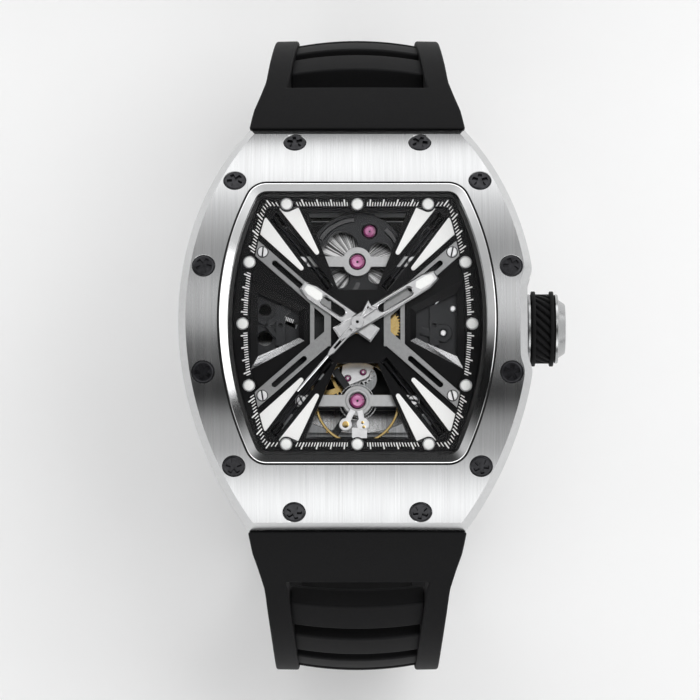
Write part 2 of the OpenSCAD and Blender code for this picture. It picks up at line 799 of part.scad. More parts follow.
module movement_screws() color(polished) at_dial() for (place = bar_screw_at) at(place)
    translate([0, 0, bar_z1]) slotted_screw(small_head_r, small_head_t, small_shank_r, 2, 5 * place[0]);

module regulator() color(white) at_dial() {
    plate(bar_z1, bar_z1 + 0.25) at(balance_at) {
        difference() {
            circle(1.45);
            circle(1.1);
        }
        rotate(244) translate([1.2, -0.22]) square([2.3, 0.44]);
        rotate(283) translate([1.2, -0.2]) square([1.9, 0.4]);
    }
    box([-0.65, -14.3, plate_z1], [1.17, -12.65, plate_z1 + 0.8]);
}

hour_z = 0.5;
minute_z = 1;
seconds_z = 1.5;
hand_t = 0.25;
pipe_r = 0.95;
cannon_r = 0.68;
sweep_r = 0.33;

// Turns a hand drawn along +Y to where it points, clockwise from 12 o'clock
module pointing(clock) rotate([0, 0, -clock]) children();

module hand_blade(len, slot_from, slot_len, tail_len) difference() {
    union() {
        polygon([
            [-hand_w / 2, -tail_len], [hand_w / 2, -tail_len], [hand_w / 2, len - hand_w * 0.75],
            [hand_w * 0.28, len], [-hand_w * 0.28, len], [-hand_w / 2, len - hand_w * 0.75]
        ]);
        circle(1.25);
    }
    hull() for (y = [slot_from + 0.5, slot_from + slot_len - 0.5]) translate([0, y]) circle(0.5, $fn = 32);
}

module lume_pad(len) plate(hand_t, hand_t + 0.08) polygon([
    [-0.55, len - 2.6], [0, len - 3], [0.55, len - 2.6], [0.55, len - 1.2], [0.3, len - 0.5],
    [-0.3, len - 0.5], [-0.55, len - 1.2]
]);

module hour_hand() color(polished) at_dial() translate([0, 0, hour_z]) pointing(hour_at) difference() {
    plate(0, hand_t) hand_blade(hour_len, 1.9, 3.4, 2.65);
    post(pipe_r, -1, 1);
}

module hour_lume() color(white) at_dial() translate([0, 0, hour_z]) pointing(hour_at) lume_pad(hour_len);

module minute_hand() color(polished) at_dial() translate([0, 0, minute_z]) pointing(minute_at) difference() {
    plate(0, hand_t) hand_blade(minute_len, 3, 4.8, 2.9);
    post(cannon_r, -1, 1);
}

module minute_lume() color(white) at_dial() translate([0, 0, minute_z]) pointing(minute_at)
    lume_pad(minute_len);

module seconds_hand() color(polished) at_dial() translate([0, 0, seconds_z]) {
    pointing(seconds_at) plate(0, 0.2) {
        circle(0.8);
        difference() {
            polygon([[-0.5, 0], [0.5, 0], [0.38, 4.6], [0.2, 5.2], [0.12, seconds_len], [-0.12, seconds_len],
                [-0.2, 5.2], [-0.38, 4.6]]);
            polygon([[-0.2, 1.2], [0.2, 1.2], [0.14, 4.3], [-0.14, 4.3]]);
        }
        difference() {
            polygon([[-0.3, 0], [0.3, 0], [0.75, -2.9], [0, -2.55], [-0.75, -2.9]]);
            polygon([[-0.1, -1], [0.1, -1], [0.35, -2.4], [0, -2.2], [-0.35, -2.4]]);
        }
    }
    difference() {
        post(0.55, -0.15, 0.01);
        post(sweep_r, -0.15, 0);
    }
}

module hour_wheel() color(gold) at_dial() difference() {
    union() {
        plate(-1.35, -1.1) gear(hour_teeth, hour_m, facing_gap([0, 0], minute_wheel_at, hour_teeth));
        post(pipe_r, -1.35, hour_z + hand_t);
    }
    post(cannon_r + pivot_gap, -2, 2);
}

module cannon_pinion() color(polished) at_dial() difference() {
    union() {
        plate(plate_z1 + 0.05, -1.5)
            gear(cannon_teeth, minute_m, facing_gap([0, 0], minute_wheel_at, cannon_teeth));
        post(cannon_r, -1.5, minute_z + hand_t);
    }
    post(sweep_r + pivot_gap, -3, 2);
}

module minute_wheel() color(gold) at_dial() at(minute_wheel_at) difference() {
    union() {
        plate(-1.85, -1.6) gear(minute_teeth, minute_m, heading(minute_wheel_at, [0, 0]));
        plate(-1.62, -1.05) gear(minute_leaves, hour_m, heading(minute_wheel_at, [0, 0]));
    }
    post(0.35 + pivot_gap, -3, 1);
}

module centre_wheel() color(gold) at_dial() difference() {
    union() {
        plate(centre_z, centre_z + wheel_t) spoked(rim_inside(third_m, centre_teeth), 1.1, 4, 0.5, 10)
            gear(centre_teeth, third_m, heading([0, 0], third_at));
        plate(barrel_z - 0.15, centre_z + 0.01)
            gear(centre_leaves, barrel_m, facing_gap([0, 0], barrel_at, centre_leaves));
        post(0.62, centre_z, plate_z1 + 0.05);
    }
    post(sweep_r + pivot_gap, -6, 0);
}

module fourth_wheel() color(gold) at_dial() {
    plate(fourth_z, fourth_z + wheel_t) spoked(rim_inside(escape_m, fourth_teeth), 0.9, 4, 0.45, 40)
        gear(fourth_teeth, escape_m, heading([0, 0], escape_at));
    plate(fourth_z + wheel_t - 0.01, third_z + 0.35)
        gear(fourth_leaves, fourth_m, facing_gap([0, 0], third_at, fourth_leaves));
    post(sweep_r, third_z + 0.3, seconds_z);
    post(0.2, back_z0 - 0.3, fourth_z + 0.01);
}

module third_wheel() color(gold) at_dial() at(third_at) {
    plate(third_z, third_z + wheel_t) spoked(rim_inside(fourth_m, third_teeth), 0.8, 4, 0.42, 25)
        gear(third_teeth, fourth_m, heading(third_at, [0, 0]));
    plate(third_z + wheel_t - 0.01, centre_z + wheel_t + 0.05)
        gear(third_leaves, third_m, facing_gap(third_at, [0, 0], third_leaves));
    post(0.15, back_z0 + 0.25, plate_z0 + 0.4);
}

drum_r = barrel_m * barrel_teeth / 2 - 0.7;

module barrel() color(steel) at_dial() at(barrel_at) difference() {
    union() {
        plate(barrel_z, barrel_z + 0.4) gear(barrel_teeth, barrel_m, heading(barrel_at, [0, 0]));
        post(drum_r, barrel_z - 1.25, barrel_z + 0.2);
        post(3.1, barrel_z + 0.3, barrel_z + 0.6);
    }
    post(0.8 + pivot_gap, -9, 0);
    difference() {
        post(drum_r - 0.5, barrel_z - 1, barrel_z);
        post(1.6, -9, 0);
    }
}

module ratchet_wheel() color(steel) at_dial() at(barrel_at) {
    difference() {
        plate(winding_z, winding_z + wheel_t)
            gear(ratchet_teeth, winding_m, heading(barrel_at, crown_wheel_at));
        for (i = [0:5]) rotate([0, 0, 60 * i]) translate([2.6, 0, -9]) cylinder(r = 0.7, h = 9);
    }
    post(0.8, back_z0 + 0.1, plate_z0 - 0.02);
    post(0.5, plate_z0 - 0.1, bar_z1 - 0.4);
}

module crown_wheel() color(steel) at_dial() at(crown_wheel_at) difference() {
    union() {
        plate(winding_z, winding_z + wheel_t)
            gear(crown_wheel_teeth, winding_m, facing_gap(crown_wheel_at, barrel_at, crown_wheel_teeth));
        post(0.3, back_z0, winding_z + 0.05);
    }
    for (i = [0:4]) rotate([0, 0, 72 * i]) translate([2, 0, -9]) cylinder(r = 0.6, h = 9);
}

module escape_wheel() color(steel) at_dial() at(escape_at) {
    plate(escape_z, escape_z + 0.2) {
        difference() {
            polygon([for (i = [0:escape_teeth - 1]) for (c = [[0, 1.1], [0.45, 1.5], [0.62, 1.5], [0.6, 1.1]])
                c[1] * [cos((i + c[0]) * 360 / escape_teeth), sin((i + c[0]) * 360 / escape_teeth)]]);
            circle(0.85);
        }
        circle(0.3);
        for (i = [0:3]) rotate(90 * i + 20) translate([0, -0.12]) square([0.9, 0.24]);
    }
    plate(fourth_z - 0.1, fourth_z + wheel_t + 0.2)
        gear(escape_leaves, escape_m, facing_gap(escape_at, [0, 0], escape_leaves));
    post(0.12, back_z0 + 0.25, -3.05);
}

module pallet_fork() color(steel) at_dial() at(pallet_at) {
    to_staff = heading(pallet_at, balance_at);
    to_escape = heading(pallet_at, escape_at);
    plate(escape_z, escape_z + 0.2) {
        circle(0.3);
        rotate(to_staff) difference() {
            translate([0, -0.14]) square([norm(balance_at - pallet_at) - 0.62, 0.28]);
            translate([norm(balance_at - pallet_at) - 0.95, -0.06]) square([1, 0.12]);
        }
        for (side = [-1, 1]) rotate(to_escape + side * 75) translate([0, -0.12]) square([1.35, 0.24]);
        for (side = [-1, 1]) rotate(to_escape + side * 75) translate([1.15, -0.12])
            rotate(-side * 62) square([0.42, 0.2]);
    }
    post(0.15, lower_z + 0.2, -3.05);
}

module balance() color(gold) at_dial() at(balance_at) {
    plate(rim_z, rim_z + 0.45) difference() {
        circle(balance_r);
        circle(balance_r - 0.6);
    }
    plate(rim_z + 0.1, rim_z + 0.35) for (a = [35, 145, 270]) rotate(a)
        translate([0, -0.46]) square([balance_r - 0.3, 0.92]);
    plate(rim_z + 0.05, rim_z + 0.4) circle(0.9);
    for (i = [0:11]) rotate([0, 0, 30 * i + 15]) translate([balance_r - 0.02, 0, rim_z + 0.22])
        rotate([0, 90, 0]) cylinder(r = 0.16, h = 0.2);
    post(0.2, lower_z + 0.2, bar_z1 - 0.4);
    post(0.55, escape_z + 0.35, escape_z + 0.55);
    translate([0.4, 0, 0]) post(0.09, escape_z + 0.02, escape_z + 0.4);
}

hairspring_turns = 5;
hairspring_steps = hairspring_turns * 24;

function coil_point(i, side) = let (r = 0.5 + 1.9 * i / hairspring_steps + side * 0.035)
    [r * cos(15 * i), r * sin(15 * i)];

module hairspring() color(steel) at_dial() at(balance_at) plate(-2.35, -2.15) {
    polygon(concat(
        [for (i = [0:hairspring_steps]) coil_point(i, 1)],
        [for (i = [hairspring_steps:-1:0]) coil_point(i, -1)]
    ));
    difference() {
        circle(0.55);
        circle(0.22);
    }
}

rotor_at = 225;

module rotor() color(anthracite) at_dial() difference() {
    union() {
        plate(rotor_z + 0.1, rotor_z + 0.5) rotate(rotor_at) difference() {
            circle(rotor_r - 2.5);
            translate([-30, -15]) square([30, 30]);
            for (a = [-50, 0, 50]) rotate(a) translate([5.8, 0]) circle(1.9);
        }
        post(2.6, rotor_z + 0.1, rotor_z + 0.6);
    }
    post(1.5 + pivot_gap, -10, 0);
}

module rotor_weight() color(steel) at_dial() plate(rotor_z, rotor_z + 0.6) rotate(rotor_at) difference() {
    circle(rotor_r);
    circle(rotor_r - 2.5);
    translate([-30, -15]) square([30, 30]);
}

// The crown's rings and grip along +X, from the case outward
crown_x0 = case_w / 2 - crown_flat + 0.25;
tube_r = 1.6;
stem_r = 0.45;
grip_r = crown_r + 0.37;

module along_crown() at_dial() translate([0, 0, -crown_drop]) rotate([0, 90, 0]) children();

module crown_tube() color(steel) along_crown() difference() {
    post(tube_r, case_w / 2 - 4.6, crown_x0 + 1.6);
    post(stem_r + 0.25, 0, case_w);
}

module crown() color(polished) along_crown() difference() {
    rotate_extrude() polygon([
        [0, crown_x0], [crown_r, crown_x0], [crown_r, crown_x0 + 0.4], [crown_r - 0.6, crown_x0 + 0.5],
        [crown_r - 0.6, crown_x0 + 3.2], [crown_r, crown_x0 + 3.35], [crown_r, crown_x0 + 3.75],
        [crown_r - 0.65, crown_x0 + 3.8], [crown_r - 1.2, crown_x0 + crown_len], [0, crown_x0 + crown_len]
    ]);
    post(tube_r + pivot_gap, crown_x0 - 1, crown_x0 + 1.7 + crown_travel);
    post(stem_r, crown_x0, crown_x0 + 3.6);
}

module crown_grip() color(black) along_crown() difference() {
    rotate_extrude() polygon([
        [crown_r - 0.6, crown_x0 + 0.5], [grip_r, crown_x0 + 0.5], [grip_r, crown_x0 + 0.95],
        [crown_r, crown_x0 + 1.05], [crown_r, crown_x0 + 2.6], [grip_r, crown_x0 + 2.7],
        [grip_r, crown_x0 + 3.2], [crown_r - 0.6, crown_x0 + 3.2]
    ]);
    for (i = [0:23]) rotate([0, 0, 15 * i]) translate([crown_r + 0.05, 0, crown_x0 + 0.3])
        rotate([22, 0, 0]) box([-0.25, -0.16, 0], [1, 0.16, 3.4]);
}

pinion_x = 10.2;
pinion_room = 1.8;
lever_x = 12;

module stem() color(steel) along_crown() difference() {
    union() {
        post(stem_r, pinion_x, crown_x0 + 3.6);
        plate(pinion_x, pinion_x + 1) gear(winding_teeth, 0.2, 0);
    }
    difference() {
        post(1, lever_x - 0.1, lever_x + 0.5);
        post(0.25, lever_x - 0.2, lever_x + 0.6);
    }
}

module setting_lever() color(steel) along_crown() plate(lever_x, lever_x + 0.4) difference() {
    translate([-1, -1]) square([2.2, 2.2]);
    circle(0.25 + pivot_gap);
    translate([-0.25 - pivot_gap, 0]) square([0.5 + 2 * pivot_gap, 3]);
}

// Half the strap's width against the distance from the hands' axis, seen from the front
strap_edge = [[24, 13.4], [25, 13.4], [27.6, 12.9], [29.8, 12.1], [32, 11.4], [34.8, 11.05], [38, 10.6]];
strap_root_half = 10.3;
strap_end_y = 11;
bar_y = 12.8;
bar_r = 0.8;
bar_z = cover_t + strap_t / 2;
slat_count = 7;
slat_rise = 0.1;
slat_half = 7.6;
slat_t = 3.3;
slat_facets = 5;
window_to = slat_from + slat_count * slat_step;

// Side profiles are drawn as y and z from the centre of the strap's loop, then stretched along X
module across(half) rotate([90, 0, 90]) linear_extrude(2 * half, center = true) children();

function loop_point(r, a) = [r * sin(a), r * cos(a)];

module loop_sector(from, to) polygon(concat(
    [for (i = [0:12]) loop_point(strap_r + 1, from + (to - from) * i / 12)],
    [for (i = [12:-1:0]) loop_point(strap_r - strap_t - 1, from + (to - from) * i / 12)]
));

// What lies this far inside the strap's edges; below its widest reach it narrows evenly to the clasp
module strap_inside(inset) {
    low_z = strap_root_z - strap_r + strap_t;
    root = strap_root_half - inset;
    end = strap_w / 2 - inset;
    plate(strap_root_z, 0) strap_plan(inset);
    translate([0, 2 * case_len, 0]) rotate([90, 0, 0]) linear_extrude(2 * case_len - strap_side_y) polygon([
        [root, strap_root_z], [end, low_z], [end, low_z - strap_r],
        [-end, low_z - strap_r], [-end, low_z], [-root, strap_root_z]
    ]);
}

module strap_plan(inset) {
    tail = [for (y = [0, 1]) [strap_side_y + strap_r + y, strap_root_half]];
    edge = concat(strap_edge, tail);
    turns = [len(edge) - 1:-1:0];
    polygon(concat(
        [for (p = edge) [p[1] - inset, p[0]]],
        [for (i = turns) [inset - edge[i][1], edge[i][0]]]
    ));
}

function slat_side(r, side) = [
    for (i = [-slat_facets:slat_facets]) let (x = side * i * (slat_half + 0.8) / slat_facets)
        [r - slat_crown * pow(x / slat_half, 2), x]
];

// A crowned slat across the strap's window, starting at the angle from
module slat(from) rotate([90, 0, 90]) rotate([0, 0, 90 - from - slat_angle])
    rotate_extrude(angle = slat_angle, $fn = 120) polygon(concat(
        slat_side(strap_r + slat_rise, 1), slat_side(strap_r + slat_rise - slat_t, -1)
    ));

// One side of the strap, drawn for 12 o'clock
module strap_half_loop() at_dial() difference() {
    union() {
        difference() {
            strap_body();
            intersection() {
                translate([0, strap_side_y, strap_root_z]) across(case_w) loop_sector(window_from, window_to);
                strap_inside(rail_w);
            }
        }
        intersection() {
            translate([0, strap_side_y, strap_root_z])
                for (i = [0:slat_count - 1]) slat(slat_from + i * slat_step);
            strap_inside(rail_w - 0.3);
        }
        box([-strap_w / 2, strap_end_y, strap_root_z - strap_r],
            [strap_w / 2, strap_side_y, strap_root_z - strap_r + strap_t]);
        box([-tongue_w / 2, tongue_y, tongue_z], [tongue_w / 2, case_len / 2 + 1, tongue_z + tongue_t]);
    }
    translate([0, bar_y, bar_z - dial_z]) across(case_w) circle(bar_r + pivot_gap);
    for (sx = [-1, 1]) translate([sx * strap_screw_x, strap_screw_y, 0])
        post(strap_shank_r + 0.05, tongue_z - 1, tongue_z + 2);
}

// The loop without its window: round the outside from the case to the clasp
module strap_body() intersection() {
    translate([0, strap_side_y, strap_root_z]) across(case_w) difference() {
        circle(strap_r, $fn = 180);
        circle(strap_r - strap_t, $fn = 180);
    }
    difference() {
        strap_inside(0);
        box([-case_w, 0, strap_root_z + 1], [case_w, case_len / 2 + 0.03, 1]);
    }
}

module strap_upper() color(black) strap_half_loop();

module strap_lower() color(black) mirror([0, 1, 0]) strap_half_loop();

module strap_screws() color(polished) at_dial() for (place = four(strap_screw_x, strap_screw_y))
    translate([place[0], place[1], -case_depth + strap_head_room]) rotate([180, 0, 0])
        slotted_screw(strap_head_r, 0.55, strap_shank_r, 2, 30);

cheek_x0 = strap_w / 2 + 0.3;
cheek_x1 = cheek_x0 + cheek_t;
hinge_y = 9.2;
hinge_r = 0.6;
blade_w = 15;
blade_t = 0.6;

module clasp_cover() color(steel) difference() {
    union() {
        box([-cheek_x1, -cover_len / 2, 0], [cheek_x1, cover_len / 2, cover_t]);
        for (side = [-1, 1]) scale([side, 1, 1])
            box([cheek_x0, -cover_len / 2, 0], [cheek_x1, cover_len / 2, cheek_h]);
    }
    for (sy = [-1, 1]) {
        translate([0, sy * bar_y, bar_z]) across(case_w) circle(bar_r);
        translate([0, sy * hinge_y, bar_z]) across(case_w) circle(hinge_r);
    }
    translate([0, 0, bar_z]) across(case_w) circle(button_r + pivot_gap);
}

module clasp_blades() color(steel) for (side = [-1, 1]) difference() {
    union() {
        translate([0, side * hinge_y, bar_z]) across(blade_w / 2) circle(hinge_r + 0.55);
        box([-blade_w / 2, side > 0 ? -7.6 : -hinge_y, bar_z + (side > 0 ? 0.5 : -1.1)],
            [blade_w / 2, side > 0 ? hinge_y : 7.6, bar_z + (side > 0 ? 1.1 : -0.5)]);
    }
    translate([0, side * hinge_y, bar_z]) across(case_w) circle(hinge_r);
}

module clasp_pins() color(polished) for (sy = [-1, 1]) {
    translate([0, sy * bar_y, bar_z]) across(cheek_x1 - 0.1) circle(bar_r);
    translate([0, sy * hinge_y, bar_z]) across(cheek_x1 - 0.1) circle(hinge_r);
}

module clasp_button(side) color(polished) translate([0, 0, bar_z]) scale([side, 1, 1]) rotate([0, 90, 0])
    rotate_extrude() polygon([
        [0, cheek_x0 - 0.9], [button_r + 0.3, cheek_x0 - 0.9], [button_r + 0.3, cheek_x0 - 0.4],
        [button_r, cheek_x0 - 0.4], [button_r, cheek_x1 + button_travel + 0.1],
        [button_r - 0.3, cheek_x1 + button_travel + 0.4], [0, cheek_x1 + button_travel + 0.4]
    ]);

module clasp_button_left() clasp_button(-1);

module clasp_button_right() clasp_button(1);

case_middle();
bezel();
caseback();
crystal();
back_crystal();
front_gasket();
back_gasket();
bezel_screws();
caseback_screws();
crown_tube();
chapter_ring();
hour_markers();
dial_frame();
wedge_inlays();
side_bridges();
dial_screws();
movement_ring();
main_plate();
barrel_bridge();
barrel_bar();
balance_bar();
pallet_bridge();
train_bridge();
jewels();
regulator();
strap_upper();
strap_lower();
strap_screws();
clasp_cover();
clasp_blades();
clasp_pins();
hour_hand();
hour_wheel();
minute_hand();
cannon_pinion();
seconds_hand();
fourth_wheel();
minute_wheel();
barrel();
third_wheel();
escape_wheel();
pallet_fork();
balance();
hairspring();
rotor();
rotor_weight();
crown();
crown_grip();
stem();
setting_lever();
crown_wheel();
ratchet_wheel();
clasp_button_left();
clasp_button_right();
hour_lume();
minute_lume();
movement_screws();
escape_cock();
centre_wheel();
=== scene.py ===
"""Automatic wristwatch with a domed steel case, an open-worked dial and a rubber strap."""
import math

import bmesh
import bpy
from mathutils import Matrix, Vector

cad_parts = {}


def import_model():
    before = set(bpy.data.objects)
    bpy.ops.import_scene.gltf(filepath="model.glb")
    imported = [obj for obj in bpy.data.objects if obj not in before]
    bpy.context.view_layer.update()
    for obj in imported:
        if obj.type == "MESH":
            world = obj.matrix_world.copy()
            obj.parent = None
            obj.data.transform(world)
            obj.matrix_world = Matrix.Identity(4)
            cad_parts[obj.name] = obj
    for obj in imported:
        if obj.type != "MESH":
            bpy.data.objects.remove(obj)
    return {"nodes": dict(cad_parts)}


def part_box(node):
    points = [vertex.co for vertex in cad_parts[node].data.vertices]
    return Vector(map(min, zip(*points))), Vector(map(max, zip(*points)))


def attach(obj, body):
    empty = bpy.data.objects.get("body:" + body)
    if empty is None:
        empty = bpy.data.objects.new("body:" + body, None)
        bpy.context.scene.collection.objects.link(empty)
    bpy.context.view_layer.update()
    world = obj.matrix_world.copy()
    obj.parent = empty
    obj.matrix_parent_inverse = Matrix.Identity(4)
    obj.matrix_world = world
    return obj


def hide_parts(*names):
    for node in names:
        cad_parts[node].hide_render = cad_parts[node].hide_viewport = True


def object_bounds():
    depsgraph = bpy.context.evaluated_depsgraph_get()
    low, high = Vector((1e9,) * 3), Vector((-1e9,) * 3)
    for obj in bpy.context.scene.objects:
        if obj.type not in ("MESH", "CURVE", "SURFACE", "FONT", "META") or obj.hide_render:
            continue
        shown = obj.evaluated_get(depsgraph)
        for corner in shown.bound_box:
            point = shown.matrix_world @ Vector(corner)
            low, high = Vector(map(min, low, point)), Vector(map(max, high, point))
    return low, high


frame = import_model()
cad_low, cad_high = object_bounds()

MM = 0.001
nodes = frame["nodes"]

# The chapter ring's top face is the level that heights inside the watch are measured from
DIAL_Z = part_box("chapter_ring")[1].z


# Materials

MATS = {}


def material(name, base, rough, metal=0.0, **sockets):
    """A principled material, kept by name, whose plain values sit on the shader's own sockets."""
    mat = bpy.data.materials.new(name)
    mat.use_nodes = True
    shader = shader_of(mat)
    shader.inputs["Base Color"].default_value = (*base, 1.0)
    shader.inputs["Roughness"].default_value = rough
    shader.inputs["Metallic"].default_value = metal
    for key, value in sockets.items():
        shader.inputs[key.replace("_", " ")].default_value = value
    MATS[name] = mat
    return mat


def add(mat, kind, **values):
    made = mat.node_tree.nodes.new(kind)
    for key, value in values.items():
        setattr(made, key, value)
    return made


def link(mat, source, target):
    mat.node_tree.links.new(source, target)


def shader_of(mat):
    return mat.node_tree.nodes["Principled BSDF"]


def grey(level):
    return level, level, level


def grain(mat, scale, stretch=(1, 1, 1), detail=4.0, rough_noise=0.5, seed=0.0):
    """Noise in object space, drawn out along an axis by its share in stretch, as brushing is."""
    coords = add(mat, "ShaderNodeTexCoord")
    mapping = add(mat, "ShaderNodeMapping")
    mapping.inputs["Scale"].default_value = [1 / s for s in stretch]
    mapping.inputs["Location"].default_value = (seed, seed, seed)
    noise = add(mat, "ShaderNodeTexNoise")
    noise.inputs["Scale"].default_value = scale
    noise.inputs["Detail"].default_value = detail
    noise.inputs["Roughness"].default_value = rough_noise
    link(mat, coords.outputs["Object"], mapping.inputs["Vector"])
    link(mat, mapping.outputs["Vector"], noise.inputs["Vector"])
    return noise.outputs["Fac"]


def spread(mat, fac, low, high, start=0.0, end=1.0):
    """Maps a value from start and end onto low and high."""
    made = add(mat, "ShaderNodeMapRange")
    made.inputs["From Min"].default_value = start
    made.inputs["From Max"].default_value = end
    made.inputs["To Min"].default_value = low
    made.inputs["To Max"].default_value = high
    link(mat, fac, made.inputs["Value"])
    return made.outputs["Result"]


def two_tone(mat, fac, dark, light):
    """Colours a material from dark to light as a value rises through its middle."""
    ramp = add(mat, "ShaderNodeValToRGB")
    for stop, position, tone in zip(ramp.color_ramp.elements, (0.3, 0.7), (dark, light)):
        stop.position = position
        stop.color = (*tone, 1)
    link(mat, fac, ramp.inputs["Fac"])
    link(mat, ramp.outputs["Color"], shader_of(mat).inputs["Base Color"])


def clouded(mat, fac, low, high):
    """Lets a material's roughness follow a value."""
    link(mat, spread(mat, fac, low, high), shader_of(mat).inputs["Roughness"])


def bump(mat, fac, height, strength=0.5, edge=0.0):
    """Bump of a given height in metres, over edges softened by a given radius."""
    made = add(mat, "ShaderNodeBump")
    made.inputs["Strength"].default_value = strength
    made.inputs["Distance"].default_value = height
    link(mat, fac, made.inputs["Height"])
    if edge:
        soft = add(mat, "ShaderNodeBevel")
        soft.samples = 3
        soft.inputs["Radius"].default_value = edge
        link(mat, soft.outputs["Normal"], made.inputs["Normal"])
    link(mat, made.outputs["Normal"], shader_of(mat).inputs["Normal"])


def brushed(name, dark, light, rough, stretch, scale=9000, height=4e-6, edge=0.05 * MM):
    """Metal brushed along one axis: fine streaks, and light spread across them."""
    mat = material(name, light, rough, 1.0, Anisotropic=0.85)
    across = add(mat, "ShaderNodeCombineXYZ")
    across.inputs[stretch.index(1)].default_value = 1.0
    link(mat, across.outputs["Vector"], shader_of(mat).inputs["Tangent"])
    fine = grain(mat, scale, stretch, 6.0, 0.6)
    broad = grain(mat, scale * 0.13, stretch, 2.0, 0.5, 3.7)
    two_tone(mat, fine, dark, light)
    clouded(mat, broad, rough * 0.8, rough * 1.25)
    bump(mat, fine, height, 0.35, edge)


def grained(name, dark, light, rough, metal, scale=14000, height=1.2e-6, **sockets):
    """Blasted, coated or moulded surface with an even fine grain, flat where the height is 0."""
    mat = material(name, light, rough, metal, **sockets)
    fine = grain(mat, scale, (1, 1, 1), 5.0, 0.6)
    two_tone(mat, fine, dark, light)
    clouded(mat, grain(mat, 900), rough * 0.95, rough * 1.06)
    if height:
        bump(mat, fine, height, 0.4)


def polished(name, dark, light, rough, metal=1.0):
    """Polished metal with faint cloudiness."""
    mat = material(name, light, rough, metal)
    haze = grain(mat, 1500, (1, 1, 1), 3.0)
    two_tone(mat, haze, dark, light)
    clouded(mat, haze, rough * 0.9, rough * 1.15)


def rayed(name, dark, light, rough, centre):
    """Metal brushed outwards from an upright axis at centre: streaks that follow the angle, coloured from
    near black to near white as painted highlights of the brushing.
    """
    mat = material(name, light, rough, 1.0)
    coords = add(mat, "ShaderNodeTexCoord")
    shift = add(mat, "ShaderNodeVectorMath", operation="SUBTRACT")
    shift.inputs[1].default_value = centre
    link(mat, coords.outputs["Object"], shift.inputs[0])
    split = add(mat, "ShaderNodeSeparateXYZ")
    link(mat, shift.outputs["Vector"], split.inputs["Vector"])
    angle = add(mat, "ShaderNodeMath", operation="ARCTAN2")
    link(mat, split.outputs["Y"], angle.inputs[0])
    link(mat, split.outputs["X"], angle.inputs[1])
    noise = add(mat, "ShaderNodeTexNoise", noise_dimensions="1D")
    noise.inputs["Scale"].default_value = 5.0
    noise.inputs["Detail"].default_value = 6.0
    noise.inputs["Roughness"].default_value = 0.85
    link(mat, angle.outputs["Value"], noise.inputs["W"])
    two_tone(mat, spread(mat, noise.outputs["Fac"], 0.0, 1.0, 0.4, 0.6), dark, light)


def clear_glass(name, reflect):
    """Thin clear glass: mostly transparent, with a faint even reflection."""
    mat = material(name, grey(1), 0.02)
    clear = add(mat, "ShaderNodeBsdfTransparent")
    clear.inputs["Color"].default_value = (*grey(1), 1)
    gloss = add(mat, "ShaderNodeBsdfGlossy")
    gloss.inputs["Roughness"].default_value = 0.03
    mix = add(mat, "ShaderNodeMixShader")
    mix.inputs["Fac"].default_value = reflect
    link(mat, clear.outputs["BSDF"], mix.inputs[1])
    link(mat, gloss.outputs["BSDF"], mix.inputs[2])
    link(mat, mix.outputs["Shader"], mat.node_tree.nodes["Material Output"].inputs["Surface"])


def jewel(name, dark, light, rough, coat):
    mat = material(name, light, rough, Coat_Weight=coat)
    two_tone(mat, grain(mat, 1800), dark, light)


STEEL = ((0.40, 0.41, 0.42), (0.62, 0.63, 0.64))
LOW_SHEEN = {"Specular_IOR_Level": 0.1}
barrel_low, barrel_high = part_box("barrel")

brushed("bezel_brushed", (0.37, 0.373, 0.376), (0.43, 0.434, 0.438), 0.26, (1, 60, 60), 5000, 3e-6, 0.0)
brushed("case_brushed", *STEEL, 0.36, (60, 60, 1))
brushed("back_brushed", *STEEL, 0.36, (1, 60, 60))
brushed("wheel_steel", (0.45, 0.455, 0.46), (0.78, 0.785, 0.79), 0.25, (1, 8, 1), 5000)
# Sunray streaks on the barrel and ratchet wheel: real brushing pattern, with its bright and dark tones
# painted highlights
rayed("ratchet_rays_painted_highlights", (0.07, 0.07, 0.072), (0.95, 0.95, 0.955), 0.3, (barrel_low + barrel_high) / 2)
polished("steel_polished", (0.60, 0.604, 0.608), (0.64, 0.644, 0.648), 0.14)
# Black screws and rods; also the black that stands for painted shade in screw slots, round screw heads, in
# jewel holes and in the seconds hand's pit
polished("black_and_painted_shade", (0.012, 0.012, 0.014), (0.03, 0.03, 0.034), 0.28, 0.6)
polished("hand_polished", (0.88, 0.88, 0.89), (0.96, 0.96, 0.97), 0.12)
polished("hand_satin", (0.66, 0.66, 0.67), (0.76, 0.76, 0.77), 0.32)
polished("screw_bright", (0.88, 0.88, 0.89), (0.97, 0.97, 0.98), 0.4)
polished("gilt", (0.78, 0.54, 0.20), (0.92, 0.70, 0.32), 0.16)
grained("rubber", (0.006, 0.006, 0.0065), (0.0095, 0.0095, 0.010), 0.6, 0.0, 6000, 2e-6, **LOW_SHEEN)
grained("gasket", grey(0.006), grey(0.012), 0.6, 0.0)
grained("inlay_white", (0.80, 0.80, 0.79), (0.90, 0.90, 0.89), 0.4, 0.0, 20000, 2e-6)
grained("lume", (0.84, 0.85, 0.83), (0.95, 0.95, 0.94), 0.5, 0.0, 16000, 3e-6)
grained("dial_black", (0.005, 0.005, 0.0055), (0.006, 0.006, 0.0066), 0.34, 0.0, 1500, 0, **LOW_SHEEN)
